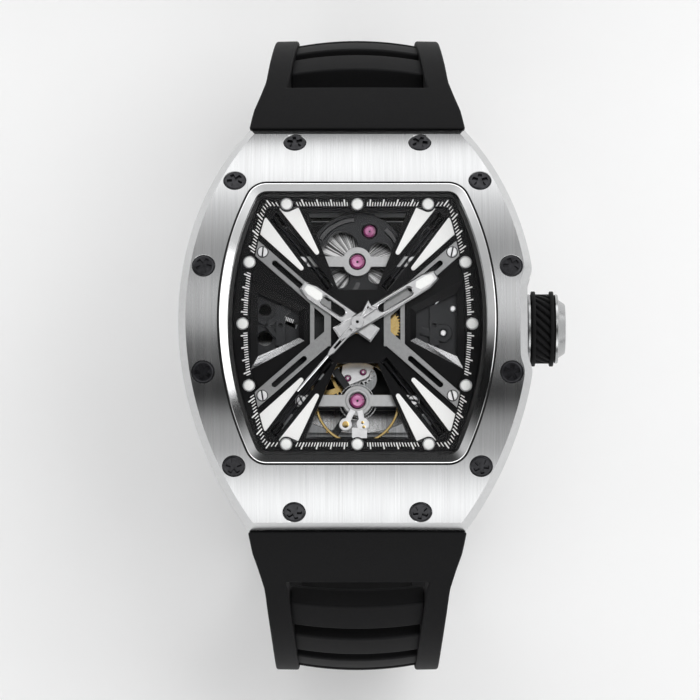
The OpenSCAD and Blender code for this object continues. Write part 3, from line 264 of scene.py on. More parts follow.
# A lit grey copy of the dial's black: painted light for the dial frame's bevels that face 12 o'clock
grained("dial_bevel", (0.40, 0.40, 0.405), (0.44, 0.44, 0.445), 0.14, 1.0, 1500, 0)
grained("lip_polished", (0.72, 0.725, 0.73), (0.75, 0.755, 0.76), 0.14, 1.0, 700, 0)
grained("crown_satin", (0.42, 0.423, 0.426), (0.44, 0.443, 0.446), 0.26, 1.0, 1500, 0)
grained("bridge_grey", (0.56, 0.564, 0.568), (0.64, 0.644, 0.648), 0.34, 1.0, 2500, 0)
grained("strip_grey", (0.34, 0.343, 0.346), (0.40, 0.403, 0.406), 0.34, 1.0, 2500, 0)
grained("anthracite", (0.022, 0.023, 0.025), (0.03, 0.031, 0.034), 0.36, 0.4, 2500, 0)
grained("arc_grey", (0.10, 0.10, 0.103), (0.13, 0.13, 0.134), 0.3, 1.0, 2500, 0)
jewel("ruby", (0.16, 0.01, 0.08), (0.24, 0.03, 0.13), 0.08, 0.6)
# A lighter copy of the ruby: painted highlight in the jewels' oil cups
jewel("ruby_painted_highlight", (0.42, 0.09, 0.26), (0.60, 0.24, 0.44), 0.1, 0.8)
clear_glass("sapphire", 0.005)
NODE_MATS = {
    "bezel_brushed": ["bezel"],
    "case_brushed": ["case_middle", "crown_tube"],
    "back_brushed": ["caseback", "clasp_cover", "clasp_blades"],
    "steel_polished": ["dial_screws", "movement_screws", "caseback_screws", "strap_screws", "clasp_pins",
                       "clasp_button_left", "clasp_button_right", "crown", "escape_cock"],
    "hand_polished": ["hour_hand", "minute_hand", "seconds_hand"],
    "black_and_painted_shade": ["bezel_screws"],
    "rubber": ["strap_upper", "strap_lower", "crown_grip"],
    "gasket": ["front_gasket", "back_gasket"],
    "dial_black": ["chapter_ring", "dial_frame"],
    "inlay_white": ["wedge_inlays", "regulator"],
    "lume": ["hour_markers", "hour_lume", "minute_lume"],
    "bridge_grey": ["side_bridges", "barrel_bar", "balance_bar"],
    "anthracite": ["movement_ring", "main_plate", "barrel_bridge", "pallet_bridge", "train_bridge", "rotor"],
    "gilt": ["hour_wheel", "cannon_pinion", "fourth_wheel", "minute_wheel", "third_wheel", "centre_wheel",
             "balance"],
    "wheel_steel": ["escape_wheel", "pallet_fork", "stem", "setting_lever", "crown_wheel", "rotor_weight",
                    "hairspring"],
    "ratchet_rays_painted_highlights": ["ratchet_wheel", "barrel"],
    "ruby": ["jewels"],
    "sapphire": ["crystal", "back_crystal"],
}
for mat_name, members in NODE_MATS.items():
    for member in members:
        for one in nodes[member].material_slots:
            one.link = "OBJECT"
            one.material = MATS[mat_name]


# Shapes in millimetres, with heights from the chapter ring's top

CASE_W, CASE_LEN, END_W = 43.4, 50.0, 26.4
FRONT_R, CREST, BEZEL_T, BEVEL = 42.0, 4.8, 3.0, 0.9
# Windows are given by width, length, side radius and corner radius
GLASS = (31.5, 32.4, 36.8, 1.5)
RING_OPEN = (26.6, 28.9, 46.5, 0.6)
LEAST_CORNER_R = 0.4
LIP_W, LIP_FALL, GROOVE_W, LEDGE_W = 1.0, 0.17, 0.25, 0.5
LIP_EDGE_W, LIP_CREST, GROOVE_DEPTH, LEDGE_DEPTH = 0.08, 0.01, 0.3, 1.7
# The case's cut for the crown: depth and half width of its flat, run and reach of its slopes, rounded stretch
CROWN_FLAT, CROWN_HALF, NOTCH_RUN, NOTCH_END, NOTCH_ROUND = 1.1, 4.8, 1.45, 9, (3.4, 8.0)
# How far the flat's ends move outwards for each millimetre that the outline moves in
NOTCH_SHIFT = 0.336
DOME_Z = CREST - FRONT_R
CASE_BULGE = (CASE_W - END_W) / 2
CASE_SIDE_R = ((CASE_LEN / 2) ** 2 + CASE_BULGE ** 2) / (2 * CASE_BULGE)
BEZEL_SCREWS = ((7.7, 22.9), (15, 17.6), (18.65, 6.5))


def mirrored(x, y):
    """A place and its mirror images on all four sides."""
    return [(sx * x, sy * y) for sx in (-1, 1) for sy in (-1, 1)]


SCREW_AT = [at for place in BEZEL_SCREWS for at in mirrored(*place)]


def world(point):
    """A point in millimetres from the hands' axis and the chapter ring, in metres in the shared frame."""
    return Vector((point[0] * MM, point[1] * MM, DIAL_Z + point[2] * MM))


def dome_height(y, r=FRONT_R):
    return DOME_Z + math.sqrt(r * r - y * y)


def circle_hit(ray, centre_x, r, centre_y=0.0):
    """Distance along a ray from the origin to the far side of a circle."""
    along = ray[0] * centre_x + ray[1] * centre_y
    return along + math.sqrt(along * along - centre_x ** 2 - centre_y ** 2 + r * r)


def case_edge(angle, inset):
    """Point of the case outline in a direction, moved in by inset, with the flat that clears the crown."""
    c, s = math.cos(angle), math.sin(angle)
    side_x = CASE_SIDE_R - CASE_W / 2
    reach = min(circle_hit((c, s), x, CASE_SIDE_R - inset) for x in (side_x, -side_x))
    if abs(s) > 1e-6:
        reach = min(reach, (CASE_LEN / 2 - inset) / abs(s))
    if c > 0:
        flat = CASE_W / 2 - CROWN_FLAT - inset
        corner = CROWN_HALF + NOTCH_SHIFT * inset
        slope = CROWN_FLAT / NOTCH_RUN
        notch = flat / c
        if notch * abs(s) > corner and c > slope * abs(s):
            notch = (flat - corner * slope) / (c - slope * abs(s))
        if notch * abs(s) <= NOTCH_END:
            reach = min(reach, notch)
    return reach * c, reach * s


def rounded_notch(points, passes=3):
    """Rounds the corners of the space round the crown by averaging each point there with its neighbours."""
    for _ in range(passes):
        before = list(points)
        for i in range(2, len(points) - 2):
            x, y = before[i]
            if x > 0 and NOTCH_ROUND[0] < abs(y) < NOTCH_ROUND[1]:
                near = before[i - 2:i + 3]
                points[i] = tuple(sum(p[axis] for p in near) / len(near) for axis in (0, 1))
    return points


def window_edge(angle, size, grow=0.0):
    """Point of a window with curved sides and rounded corners in a direction, moved out by grow."""
    width, length = size[0] + 2 * grow, size[1] + 2 * grow
    side_r, corner_r = size[2] + grow, max(LEAST_CORNER_R, size[3] + grow)
    c, s = abs(math.cos(angle)), abs(math.sin(angle))
    side_x = width / 2 - side_r
    corner_y = length / 2 - corner_r
    corner_x = side_x + math.sqrt((side_r - corner_r) ** 2 - corner_y ** 2)
    meet = math.atan2(corner_y, corner_x - side_x)
    if s * corner_x >= c * length / 2:
        reach = length / 2 / s
    else:
        reach = circle_hit((c, s), side_x, side_r)
        if reach * s > side_r * math.sin(meet):
            reach = circle_hit((c, s), corner_x, corner_r, corner_y)
    return math.copysign(reach * c, math.cos(angle)), math.copysign(reach * s, math.sin(angle))


def new_object(name, data):
    made = bpy.data.objects.new(name, data)
    bpy.context.scene.collection.objects.link(made)
    return made


def mesh_of(shape, name):
    mesh = bpy.data.meshes.new(name)
    shape.to_mesh(mesh)
    shape.free()
    return mesh


def as_object(name, mesh, body, mats, replaced=()):
    piece = new_object(name, mesh)
    for one in mats:
        mesh.materials.append(MATS[one])
    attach(piece, body)
    if replaced:
        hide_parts(*replaced)
    return piece


def mesh_from(name, points, faces, marks=None, sharp=()):
    """A smooth mesh from world points; marks gives each face's material and sharp the hard edges."""
    mesh = bpy.data.meshes.new(name)
    mesh.from_pydata(points, [], faces)
    mesh.polygons.foreach_set("use_smooth", [True] * len(faces))
    if marks:
        mesh.polygons.foreach_set("material_index", marks)
    if sharp:
        hard = {tuple(sorted(pair)) for pair in sharp}
        for edge in mesh.edges:
            if tuple(sorted(edge.vertices)) in hard:
                edge.use_edge_sharp = True
    mesh.update()
    return mesh


def loft(name, rings, marks, sharp_rings):
    """Bands of quads between rings of equal length; the last ring joins the first."""
    count = len(rings[0])
    points = [world(p) for ring in rings for p in ring]
    faces, kinds, sharp = [], [], []
    for band in range(len(rings)):
        low, high = band * count, ((band + 1) % len(rings)) * count
        for i in range(count):
            j = (i + 1) % count
            faces.append((low + i, low + j, high + j, high + i))
            kinds.append(marks[band])
    for ring in sharp_rings:
        sharp += [(ring * count + i, ring * count + (i + 1) % count) for i in range(count)]
    return mesh_from(name, points, faces, kinds, sharp)


def applied(piece):
    """Turns a piece's modifiers into its mesh."""
    deps = bpy.context.evaluated_depsgraph_get()
    deps.update()
    made = bpy.data.meshes.new_from_object(piece.evaluated_get(deps))
    piece.modifiers.clear()
    piece.data = made
    return piece


# How upright the normal of a face is that counts as sloping
STEEPEST, FLATTEST = 0.3, 0.98


def refined(node, body, mats, width, lean):
    """A node's solid as a piece of its own, with flat faces joined and every sharp edge chamfered.

    A second material goes on its sloping faces that lean towards 12 o'clock by more than lean; on the dial
    frame that material is a lit grey copy of the black, painted light on the bevels facing 12 o'clock.
    """
    source = nodes[node]
    shape = bmesh.new()
    shape.from_mesh(source.data)
    shape.transform(source.matrix_world)
    bmesh.ops.remove_doubles(shape, verts=shape.verts, dist=1e-7)
    bmesh.ops.dissolve_limit(shape, angle_limit=math.radians(0.3), verts=shape.verts, edges=shape.edges)
    mesh = mesh_of(shape, node + "_piece")
    mesh.materials.clear()
    piece = soften(as_object(node + "_piece", mesh, body, mats, [node]), width, 1, 30)
    for face in piece.data.polygons:
        sloping = STEEPEST < face.normal.z < FLATTEST and face.normal.y > lean
        face.material_index = int(len(mats) > 1 and sloping)
    return piece


def join_meshes(name, meshes):
    """One mesh from several, keeping each face's material."""
    shape = bmesh.new()
    for mesh in meshes:
        shape.from_mesh(mesh)
    return mesh_of(shape, name)


def skin(shape, rows, mats=(0,)):
    """Closes the bands between rows of points with quads; mats gives the bands' materials in turn."""
    bands = []
    for number, (under, over) in enumerate(zip(rows, rows[1:])):
        faces = []
        for i in range(len(under)):
            j = (i + 1) % len(under)
            faces.append(shape.faces.new((under[i], under[j], over[j], over[i])))
            faces[-1].material_index = mats[number % len(mats)]
        bands.append(faces)
    return bands


def block(corners, low, high):
    """A prism between two heights over a list of corners, as points and faces."""
    count = len(corners)
    points = [world((x, y, z)) for z in (low, high) for x, y in corners]
    faces = [tuple(range(count - 1, -1, -1)), tuple(range(count, 2 * count))]
    faces += [(i, (i + 1) % count, count + (i + 1) % count, count + i) for i in range(count)]
    return points, faces


def blocks(name, parts):
    points, faces = [], []
    for part_points, part_faces in parts:
        shift = len(points)
        points += part_points
        faces += [tuple(i + shift for i in face) for face in part_faces]
    mesh = mesh_from(name, points, faces)
    mesh.polygons.foreach_set("use_smooth", [False] * len(faces))
    return mesh


# Bezel: brushed dome, polished bevel and lip, and the dark groove between them

SCREW_HOLE = [(1.34, -1.0), (1.34, -0.1), (1.46, 0.03), (1.46, 0.6)]
SCREW_HEAD = [(1.31, -0.9), (1.31, -0.1), (1.2, 0.0), (1.08, 0.02)]
STAR_ARMS, STAR_REACH, STAR_HALF, STAR_FLOOR, STAR_TAPER = 5, 0.98, 0.25, -0.25, 0.9


def screw_place(x, y, turn=0.0):
    """Where a bezel screw sits: on the dome, square to it."""
    tilt = Matrix.Rotation(-math.asin(y / FRONT_R), 4, "X")
    up = Matrix.Translation((0, 0, FRONT_R * MM))
    return Matrix.Translation(world((x, 0, DOME_Z))) @ tilt @ up @ Matrix.Rotation(turn, 4, "Z")


def placed_ring(shape, place, reaches, z):
    """A ring of points about a placed axis, each at its own reach in millimetres."""
    turns = [math.tau * i / len(reaches) for i in range(len(reaches))]
    return [shape.verts.new(place @ Vector((r * MM * math.cos(a), r * MM * math.sin(a), z * MM)))
            for r, a in zip(reaches, turns)]


def bezel_screw_cutter():
    shape = bmesh.new()
    for x, y in SCREW_AT:
        rows = [placed_ring(shape, screw_place(x, y), [r] * 40, z) for r, z in SCREW_HOLE]
        skin(shape, rows)
        shape.faces.new(rows[0][::-1])
        shape.faces.new(rows[-1])
    for face in shape.faces:
        face.material_index = 1
    mesh = mesh_of(shape, "cutter")
    for _ in range(3):
        mesh.materials.append(None)
    return new_object("cutter", mesh)


def dome_normals(mesh):
    """Sets exact normals on faces that lie on the domed front, and leaves the others as they are."""
    centre_z = DIAL_Z + DOME_Z * MM
    normals = [None] * len(mesh.loops)
    smooth = [n.vector.copy() for n in mesh.corner_normals]
    for face in mesh.polygons:
        for loop in face.loop_indices:
            co = mesh.vertices[mesh.loops[loop].vertex_index].co
            reach = math.hypot(co.y, co.z - centre_z)
            on_dome = abs(reach - FRONT_R * MM) < 0.02 * MM and face.normal.z > 0.5
            radial = Vector((0, co.y, co.z - centre_z)).normalized()
            normals[loop] = radial if on_dome and radial.dot(face.normal) > 0.995 else smooth[loop]
    mesh.normals_split_custom_set(normals)


def make_bezel():
    corner = math.atan2(CASE_LEN / 2, END_W / 2)
    inner_corner = math.atan2(CASE_LEN / 2 - BEVEL, END_W / 2 - BEVEL * 0.62)
    notch = [math.atan2(CROWN_HALF, CASE_W / 2 - CROWN_FLAT), math.atan2(CROWN_HALF + NOTCH_RUN, CASE_W / 2)]
    marks = [a for base in (corner, inner_corner) for a in (base, math.pi - base, -base, base - math.pi)]
    marks += [a for base in notch for a in (base, -base)]
    around = 480
    angles = sorted([math.tau * i / around - math.pi for i in range(around)] + marks)

    def case_ring(inset, drop):
        points = rounded_notch([case_edge(a, inset) for a in angles])
        return [(x, y, dome_height(y, FRONT_R - drop)) for x, y in points]

    def window_ring(grow, drop):
        points = [window_edge(a, GLASS, grow) for a in angles]
        return [(x, y, dome_height(y, FRONT_R - drop)) for x, y in points]

    outer, inner = case_ring(BEVEL, 0.0), window_ring(LIP_W + GROOVE_W, 0.0)
    steps = 14
    top = []
    for i in range(1, steps):
        t = i / steps
        row = [(a[0] + (b[0] - a[0]) * t, a[1] + (b[1] - a[1]) * t) for a, b in zip(outer, inner)]
        top.append([(x, y, dome_height(y)) for x, y in row])
    lip = [(LIP_W + GROOVE_W, GROOVE_DEPTH), (LIP_W, GROOVE_DEPTH), (LIP_W, 0.0),
           (LIP_W - LIP_EDGE_W, -LIP_CREST), (0.0, LIP_FALL), (0.0, LEDGE_DEPTH), (-LEDGE_W, LEDGE_DEPTH),
           (-LEDGE_W, BEZEL_T)]
    rings = [case_ring(0.0, BEZEL_T), case_ring(0.0, BEVEL), outer, *top, inner]
    rings += [window_ring(grow, drop) for grow, drop in lip]
    kinds = [1, 1] + [0] * steps + [2, 2, 2, 3, 3, 3, 3, 1, 0]
    sharp = [i for i in range(len(rings)) if not 2 < i < 2 + steps]
    mats = ["bezel_brushed", "steel_polished", "gasket", "lip_polished"]
    mesh = loft("bezel_piece", rings, kinds, sharp)
    piece = as_object("bezel_piece", mesh, "watch", mats, ["bezel"])
    cutter = bezel_screw_cutter()
    cut = piece.modifiers.new("screw_holes", "BOOLEAN")
    cut.object = cutter
    cut.solver = "EXACT"
    applied(piece)
    bpy.data.objects.remove(cutter)
    dome_normals(piece.data)


# Bezel screws: black heads with a five-lobed recess

def make_bezel_screws():
    shape = bmesh.new()
    around = 100
    half_step = math.pi / STAR_ARMS
    star = []
    for i in range(around):
        off = abs((math.tau * i / around + half_step) % (2 * half_step) - half_step)
        star.append(min(STAR_REACH, STAR_HALF / math.sin(max(off, 0.05))))
    for number, (x, y) in enumerate(SCREW_AT):
        place = screw_place(x, y, 0.4 * number)
        rows = [placed_ring(shape, place, [r] * around, z) for r, z in SCREW_HEAD]
        rows.append(placed_ring(shape, place, star, SCREW_HEAD[-1][1]))
        rows.append(placed_ring(shape, place, [r * STAR_TAPER for r in star], STAR_FLOOR))
        for band in skin(shape, rows)[:3]:
            for face in band:
                face.smooth = True
        shape.faces.new(rows[-1])
        shape.faces.new(rows[0][::-1])
    mesh = mesh_of(shape, "bezel_screws_piece")
    as_object("bezel_screws_piece", mesh, "watch", ["black_and_painted_shade"], ["bezel_screws"])


# Strap: two rubber halves with a window of crowned slats

STRAP_R, STRAP_T, STRAP_SIDE_Y, STRAP_ROOT_Y, STRAP_ROOT_Z, STRAP_FROM = 24.0, 3.5, 16.4, 25.03, -26.8, 26
STRAP_EDGE = [(24, 13.4), (25, 13.4), (27.6, 12.9), (29.8, 12.1), (32, 11.4), (34.8, 11.05), (38, 10.6),
              (40.4, 10.3)]
STRAP_END_Y, STRAP_ROOT_HALF, STRAP_LOW_HALF, RAIL_W = 11.0, 10.3, 10.0, 2.9
WINDOW_FROM, SLAT_FROM, SLAT_ANGLE, SLAT_STEP, SLATS = 37.5, 46.3, 9.7, 14.6, 7
SLAT_CROWN, SLAT_HALF, SLAT_T, SLAT_RISE = 0.7, 7.6, 3.3, 0.1
STRAP_CROWN, STRAP_ROUND = 0.12, 0.28


def strap_half(y, z):
    if z < STRAP_ROOT_Z:
        t = min(1.0, (STRAP_ROOT_Z - z) / (STRAP_R - STRAP_T))
        return STRAP_ROOT_HALF + (STRAP_LOW_HALF - STRAP_ROOT_HALF) * t
    for (y0, h0), (y1, h1) in zip(STRAP_EDGE, STRAP_EDGE[1:]):
        if y <= y1:
            t = max(0.0, (y - y0) / (y1 - y0))
            return h0 + (h1 - h0) * t
    return STRAP_ROOT_HALF


def strap_path():
    """Stations round the loop: outer and inner points as y and z, and whether the window lies past each."""
    window_to = SLAT_FROM + SLATS * SLAT_STEP
    start = STRAP_ROOT_Y - STRAP_SIDE_Y
    stations = [(STRAP_ROOT_Y, STRAP_ROOT_Z + math.sqrt(STRAP_R ** 2 - start ** 2),
                 STRAP_ROOT_Y, STRAP_ROOT_Z + math.sqrt((STRAP_R - STRAP_T) ** 2 - start ** 2), False)]
    angles = [STRAP_FROM + (WINDOW_FROM - STRAP_FROM) * i / 5 for i in range(6)]
    angles += [WINDOW_FROM + (window_to - WINDOW_FROM) * i / 44 for i in range(1, 45)]
    angles += [window_to + (180 - window_to) * i / 10 for i in range(1, 11)]
    for a in angles:
        s, c = math.sin(math.radians(a)), math.cos(math.radians(a))
        r = STRAP_R - STRAP_T
        open_past = WINDOW_FROM - 1e-6 <= a < window_to - 1e-6
        stations.append((STRAP_SIDE_Y + STRAP_R * s, STRAP_ROOT_Z + STRAP_R * c,
                         STRAP_SIDE_Y + r * s, STRAP_ROOT_Z + r * c, open_past))
    foot = STRAP_ROOT_Z - STRAP_R
    stations.append((STRAP_END_Y, foot, STRAP_END_Y, foot + STRAP_T, False))
    return stations


def strap_columns(half, crown):
    """Places across the strap: outer edge, rail's inner edge and between them, with a slight crown."""
    inner = half - RAIL_W
    xs = [-half, -half + RAIL_W / 2, -inner] + [inner * (i / 4 - 1) for i in range(1, 8)]
    xs += [inner, half - RAIL_W / 2, half]
    return [(x, crown * (1 - (x / half) ** 2)) for x in xs]


def slab_mesh(name, points, columns, filled, side):
    """A curved slab from rows of outer and then inner points, closed round every filled stretch."""
    faces = []
    for i in range(len(points) // (2 * columns) - 1):
        for k in range(columns - 1):
            if not filled(i, k):
                continue
            a, b = 2 * columns * i + k, 2 * columns * (i + 1) + k
            under_a, under_b = a + columns, b + columns
            faces.append((a, a + 1, b + 1, b))
            faces.append((under_a, under_b, under_b + 1, under_a + 1))
            for beside, wall in (((i, k - 1), (a, b, under_b, under_a)),
                                 ((i, k + 1), (a + 1, under_a + 1, under_b + 1, b + 1)),
                                 ((i - 1, k), (a, under_a, under_a + 1, a + 1)),
                                 ((i + 1, k), (b, b + 1, under_b + 1, under_b))):
                if not filled(*beside):
                    faces.append(wall)
    return mesh_from(name, points, [face[::side] for face in faces])


def strap_body_mesh(side):
    stations = strap_path()
    columns = 13
    points = []
    for yo, zo, yi, zi, _ in stations:
        half = strap_half(yo, zo)
        out = Vector((yo - yi, zo - zi)).normalized()
        for x, lift in strap_columns(half, STRAP_CROWN):
            points.append(world((x, side * (yo + out[0] * lift), zo + out[1] * lift)))
        for x, _ in strap_columns(half, 0.0):
            points.append(world((x, side * yi, zi)))

    def filled(i, k):
        inside = 0 <= i < len(stations) - 1 and 0 <= k < columns - 1
        return inside and not (stations[i][4] and 2 <= k <= columns - 4)

    return slab_mesh("strap_body", points, columns, filled, side)


def slat_mesh(start, side):
    across = [SLAT_HALF * 1.1 * (i / 8 - 1) for i in range(17)]
    steps = 5
    points = []
    for a in (start + SLAT_ANGLE * i / steps for i in range(steps + 1)):
        s, c = math.sin(math.radians(a)), math.cos(math.radians(a))
        for level in (STRAP_R + SLAT_RISE, STRAP_R + SLAT_RISE - SLAT_T):
            for x in across:
                r = level - SLAT_CROWN * (x / SLAT_HALF) ** 2
                points.append(world((x, side * (STRAP_SIDE_Y + r * s), STRAP_ROOT_Z + r * c)))

    def filled(i, k):
        return 0 <= i < steps and 0 <= k < len(across) - 1

    return slab_mesh("slat", points, len(across), filled, side)


def soften(piece, width, segments, angle):
    """Bevels a piece's sharp edges, then shades it smooth except where faces meet above the crisp angle."""
    edge = piece.modifiers.new("edges", "BEVEL")
    edge.width = width * MM
    edge.segments = segments
    edge.limit_method = "ANGLE"
    edge.angle_limit = math.radians(angle)
    applied(piece)
    shape = bmesh.new()
    shape.from_mesh(piece.data)
    shade(shape, 14)
    shape.to_mesh(piece.data)
    shape.free()
    return piece


def shade(shape, crisp):
    """Smooth shading, with a hard edge where faces meet at more than the crisp angle."""
    for face in shape.faces:
        face.smooth = True
    for edge in shape.edges:
        edge.smooth = not edge.is_manifold or edge.calc_face_angle(0) < math.radians(crisp)


def make_strap():
    for side, name in ((1, "strap_upper"), (-1, "strap_lower")):
        parts = [strap_body_mesh(side)] + [slat_mesh(SLAT_FROM + i * SLAT_STEP, side) for i in range(SLATS)]
        mesh = join_meshes(name + "_piece", parts)
        piece = as_object(name + "_piece", mesh, "watch", ["rubber"], [name])
        soften(piece, STRAP_ROUND, 3, 40)


# Minute track on the chapter ring

TRACK_MARKS, TRACK_FROM, DOT_CLEAR, TRACK_LEVELS = 300, 0.12, 1.16, (-0.01, 0.03)
# How far a mark reaches from the ring's opening, and its half width
LONG_MARK, SHORT_MARK = (0.95, 0.085), (0.62, 0.055)


def make_minute_track():
    parts = []
    for i in range(TRACK_MARKS):
        a = math.tau * i / TRACK_MARKS
        reach, half = SHORT_MARK if i % 5 else LONG_MARK
        inner, outer = Vector(window_edge(a, RING_OPEN, TRACK_FROM)), Vector(window_edge(a, RING_OPEN, reach))
        middle = (inner + outer) / 2
        if min(math.dist(middle, dot) for dot in DOT_PLACES) < DOT_CLEAR:
            continue
        run = (outer - inner).normalized()
        side = Vector((-run.y, run.x)) * half
        parts.append(block([inner - side, outer - side, outer + side, inner + side], *TRACK_LEVELS))
    as_object("minute_track", blocks("minute_track", parts), "watch", ["inlay_white"])


# Small turned and slotted parts

def point_round(shape, centre, r, a, z):
    return shape.verts.new(world((centre[0] + r * math.cos(a), centre[1] + r * math.sin(a), z)))


def turned(shape, centre, profile, around=40, mat=0, base=0.0):
    """Adds a surface of revolution about an upright axis, from radius and height pairs above a base."""
    turns = [math.tau * i / around for i in range(around)]
    rows = []
    for r, z in profile:
        rows.append([point_round(shape, centre, r, a, base + z) for a in (turns if r else turns[:1])])
    for low, high in zip(rows, rows[1:]):
        for i in range(around):
            j = (i + 1) % around
            corners = [low[i % len(low)], low[j % len(low)], high[j % len(high)], high[i % len(high)]]
            shape.faces.new(list(dict.fromkeys(corners))).material_index = mat


HEAD_R, HEAD_T, HEAD_SLOT, HEAD_EDGE = 0.6, 0.3, 0.09, 0.07
# A black floor in each head's slot and a thin black ring round each head on the surface, both painted shade
SLOT_FLOOR_SHADE = [(HEAD_R - 0.03, 0), (HEAD_R - 0.03, 0.1), (0, 0.1)]
HEAD_SHADOW_RING = [(HEAD_R + 0.11, 0), (HEAD_R + 0.11, 0.03), (HEAD_R, 0.02)]


def half_head(shape, centre, turn, low):
    """Adds one half of a slotted screw head, chamfered all round."""
    def row(radius, edge, z):
        reach = math.acos(edge / radius)
        turns = [turn - reach + 2 * reach * i / 14 for i in range(15)]
        return [point_round(shape, centre, radius, a, z) for a in turns]

    high = low + HEAD_T
    rows = [row(HEAD_R, HEAD_SLOT, low), row(HEAD_R, HEAD_SLOT, high - HEAD_EDGE),
            row(HEAD_R - HEAD_EDGE, HEAD_SLOT + HEAD_EDGE, high)]
    skin(shape, rows)
    shape.faces.new(rows[-1])


def slotted_heads(node, places, low, turns):
    """Bright screw heads whose slots have a black floor of painted shade, each ringed by a thin black ring of
    painted shadow.
    """
    shape = bmesh.new()
    for place, turn in zip(places, turns):
        half_head(shape, place, turn, low)
        half_head(shape, place, turn + math.pi, low)
        # Black slot floor and black ring round the head: painted shade
        turned(shape, place, SLOT_FLOOR_SHADE, 40, 1, low)
        turned(shape, place, HEAD_SHADOW_RING, 40, 1, low)
    piece_from(shape, node + "_piece", "watch", ["screw_bright", "black_and_painted_shade"], [node])


def piece_from(shape, name, body, mats, replaced=(), crisp=20):
    """Finishes a bmesh: outward normals, smooth shading with crisp edges, and its own object."""
    bmesh.ops.recalc_face_normals(shape, faces=shape.faces)
    shade(shape, crisp)
    return as_object(name, mesh_of(shape, name), body, mats, replaced)


def bead(shape, path, half, low, high, mat=0, crown=0.35):
    """Adds a raised strip with square ends along a path, narrower on top by the crown's share."""
    rows = []
    count = len(path)
    for narrower, z in ((0, low), (0, high - 0.3 * (high - low)), (crown * half, high)):
        row = []
        for side in (1, -1):
            for k in range(count)[::side]:
                back, front = Vector(path[max(0, k - 1)]), Vector(path[min(count - 1, k + 1)])
                run = (front - back).normalized()
                point = Vector(path[k]) + Vector((-run.y, run.x)) * side * (half - narrower)
                row.append(shape.verts.new(world((point.x, point.y, z))))
        rows.append(row)
    skin(shape, rows, (mat,))
    shape.faces.new(rows[-1]).material_index = mat


def outward(centre, degrees, distances):
    """Points at the given distances from a centre, in one direction."""
    a = math.radians(degrees)
    return [(centre[0] + d * math.cos(a), centre[1] + d * math.sin(a)) for d in distances]


def arc(centre, r, start, end, steps=16):
    return [outward(centre, start + (end - start) * i / steps, [r])[0] for i in range(steps + 1)]


BARREL, BALANCE, BAR_SCREW_X = (0, 7.9), (0, -9.28), 6.8
PLATE_TOP, BAR_TOP, STRIP_TOP = -1.9, -1.3, 0.1


# Each jewel's place, radius, and lowest and highest levels
JEWELS = [
    (BARREL, 0.89, BAR_TOP - 0.35, BAR_TOP - 0.03),
    (BALANCE, 0.89, BAR_TOP - 0.35, BAR_TOP - 0.03),
    ((1.5, 11.8), 0.75, PLATE_TOP - 0.5, PLATE_TOP - 0.13),
    ((1.3, 3.37), 0.75, PLATE_TOP - 0.5, PLATE_TOP - 0.13),
    ((0.7, -5.55), 0.36, -3.3, -3.02),
    ((-1.18, -6.3), 0.36, -3.3, -3.02),
]
# The oil cup of a jewel, across and down from its top, as shares of its radius
JEWEL_CUP = [(0.72, 0), (0.5, 0.1), (0.3, 0.22), (0.16, 0.26)]


def make_jewels():
    shape = bmesh.new()
    for place, r, low, high in JEWELS:
        cup = [(r * across, high - r * down) for across, down in JEWEL_CUP]
        turned(shape, place, [(r, low), (r, high - 0.08 * r), (r * 0.9, high), cup[0]])
        # The oil cup takes the lighter ruby as painted highlight, and the hole below it black as painted
        # shade
        turned(shape, place, cup, mat=1)
        turned(shape, place, [cup[-1], (r * 0.13, low + 0.05), (0, low + 0.05)], mat=2)
    piece_from(shape, "jewels_piece", "watch", ["ruby", "ruby_painted_highlight", "black_and_painted_shade"], ["jewels"], 60)


DOT_PLACES = [(0, 14.8), (8.66, 14.8), (13.2, 7.6), (14, 0), (13.2, -7.6), (8.66, -14.8),
              (0, -14.8), (-8.66, -14.8), (-13.2, -7.6), (-14, 0), (-13.2, 7.6), (-8.66, 14.8)]


DOT_RIM = [(0.77, -0.19), (0.77, 0.16), (0.73, 0.2), (0.65, 0.2), (0.61, 0.12)]
DOT_FILL = [(0.61, 0.12), (0.56, 0.19), (0.3, 0.23), (0, 0.24)]


def make_dots():
    shape = bmesh.new()
    for place in DOT_PLACES:
        turned(shape, place, DOT_RIM, mat=1)
        turned(shape, place, DOT_FILL)
    mats = ["lume", "steel_polished"]
    piece_from(shape, "hour_markers_piece", "watch", mats, ["hour_markers"], 25)


DIAL_SCREW, DIAL_TURNS, BAR_TURNS = (11.58, 8.85), (0.15, -0.1, 0.25, -0.2), (1.1, 0.5, 2.0, 1.4)


def make_small_screws():
    slotted_heads("dial_screws", mirrored(*DIAL_SCREW), STRIP_TOP, DIAL_TURNS)
    bar_places = [(sx * BAR_SCREW_X, y) for sx in (-1, 1) for y in (BARREL[1], BALANCE[1])]
    slotted_heads("movement_screws", bar_places, BAR_TOP, BAR_TURNS)


# The regulator's ring, arm ends, gilt cap and gilt studs as radius and height pairs above the bar
INDEX_RING = [(1.45, 0), (1.45, 0.12), (1.39, 0.18), (1.16, 0.18), (1.1, 0.12), (1.1, 0)]
ARM_END = [(0.78, 0), (0.78, 0.16), (0.7, 0.23), (0, 0.23)]
GILT_CAP = [(0.42, 0.2), (0.42, 0.24), (0.36, 0.25), (0, 0.25)]
GILT_STUD = [(0.2, 0.2), (0.2, 0.24), (0.14, 0.25), (0, 0.25)]
# Direction and length of each arm, the left one first
INDEX_ARMS = ((244, 3.3), (283, 3.0))
ARM_HALF, ARM_T = 0.36, 0.22
GILT_STUDS = ((0.62, -12.0), (0.78, -12.55))
# Middle and size of the block below the studs, its height above the plate
BLOCK_AT, BLOCK_SIZE = (0.26, -13.47, 0.4), (1.82, 1.65, 0.8)


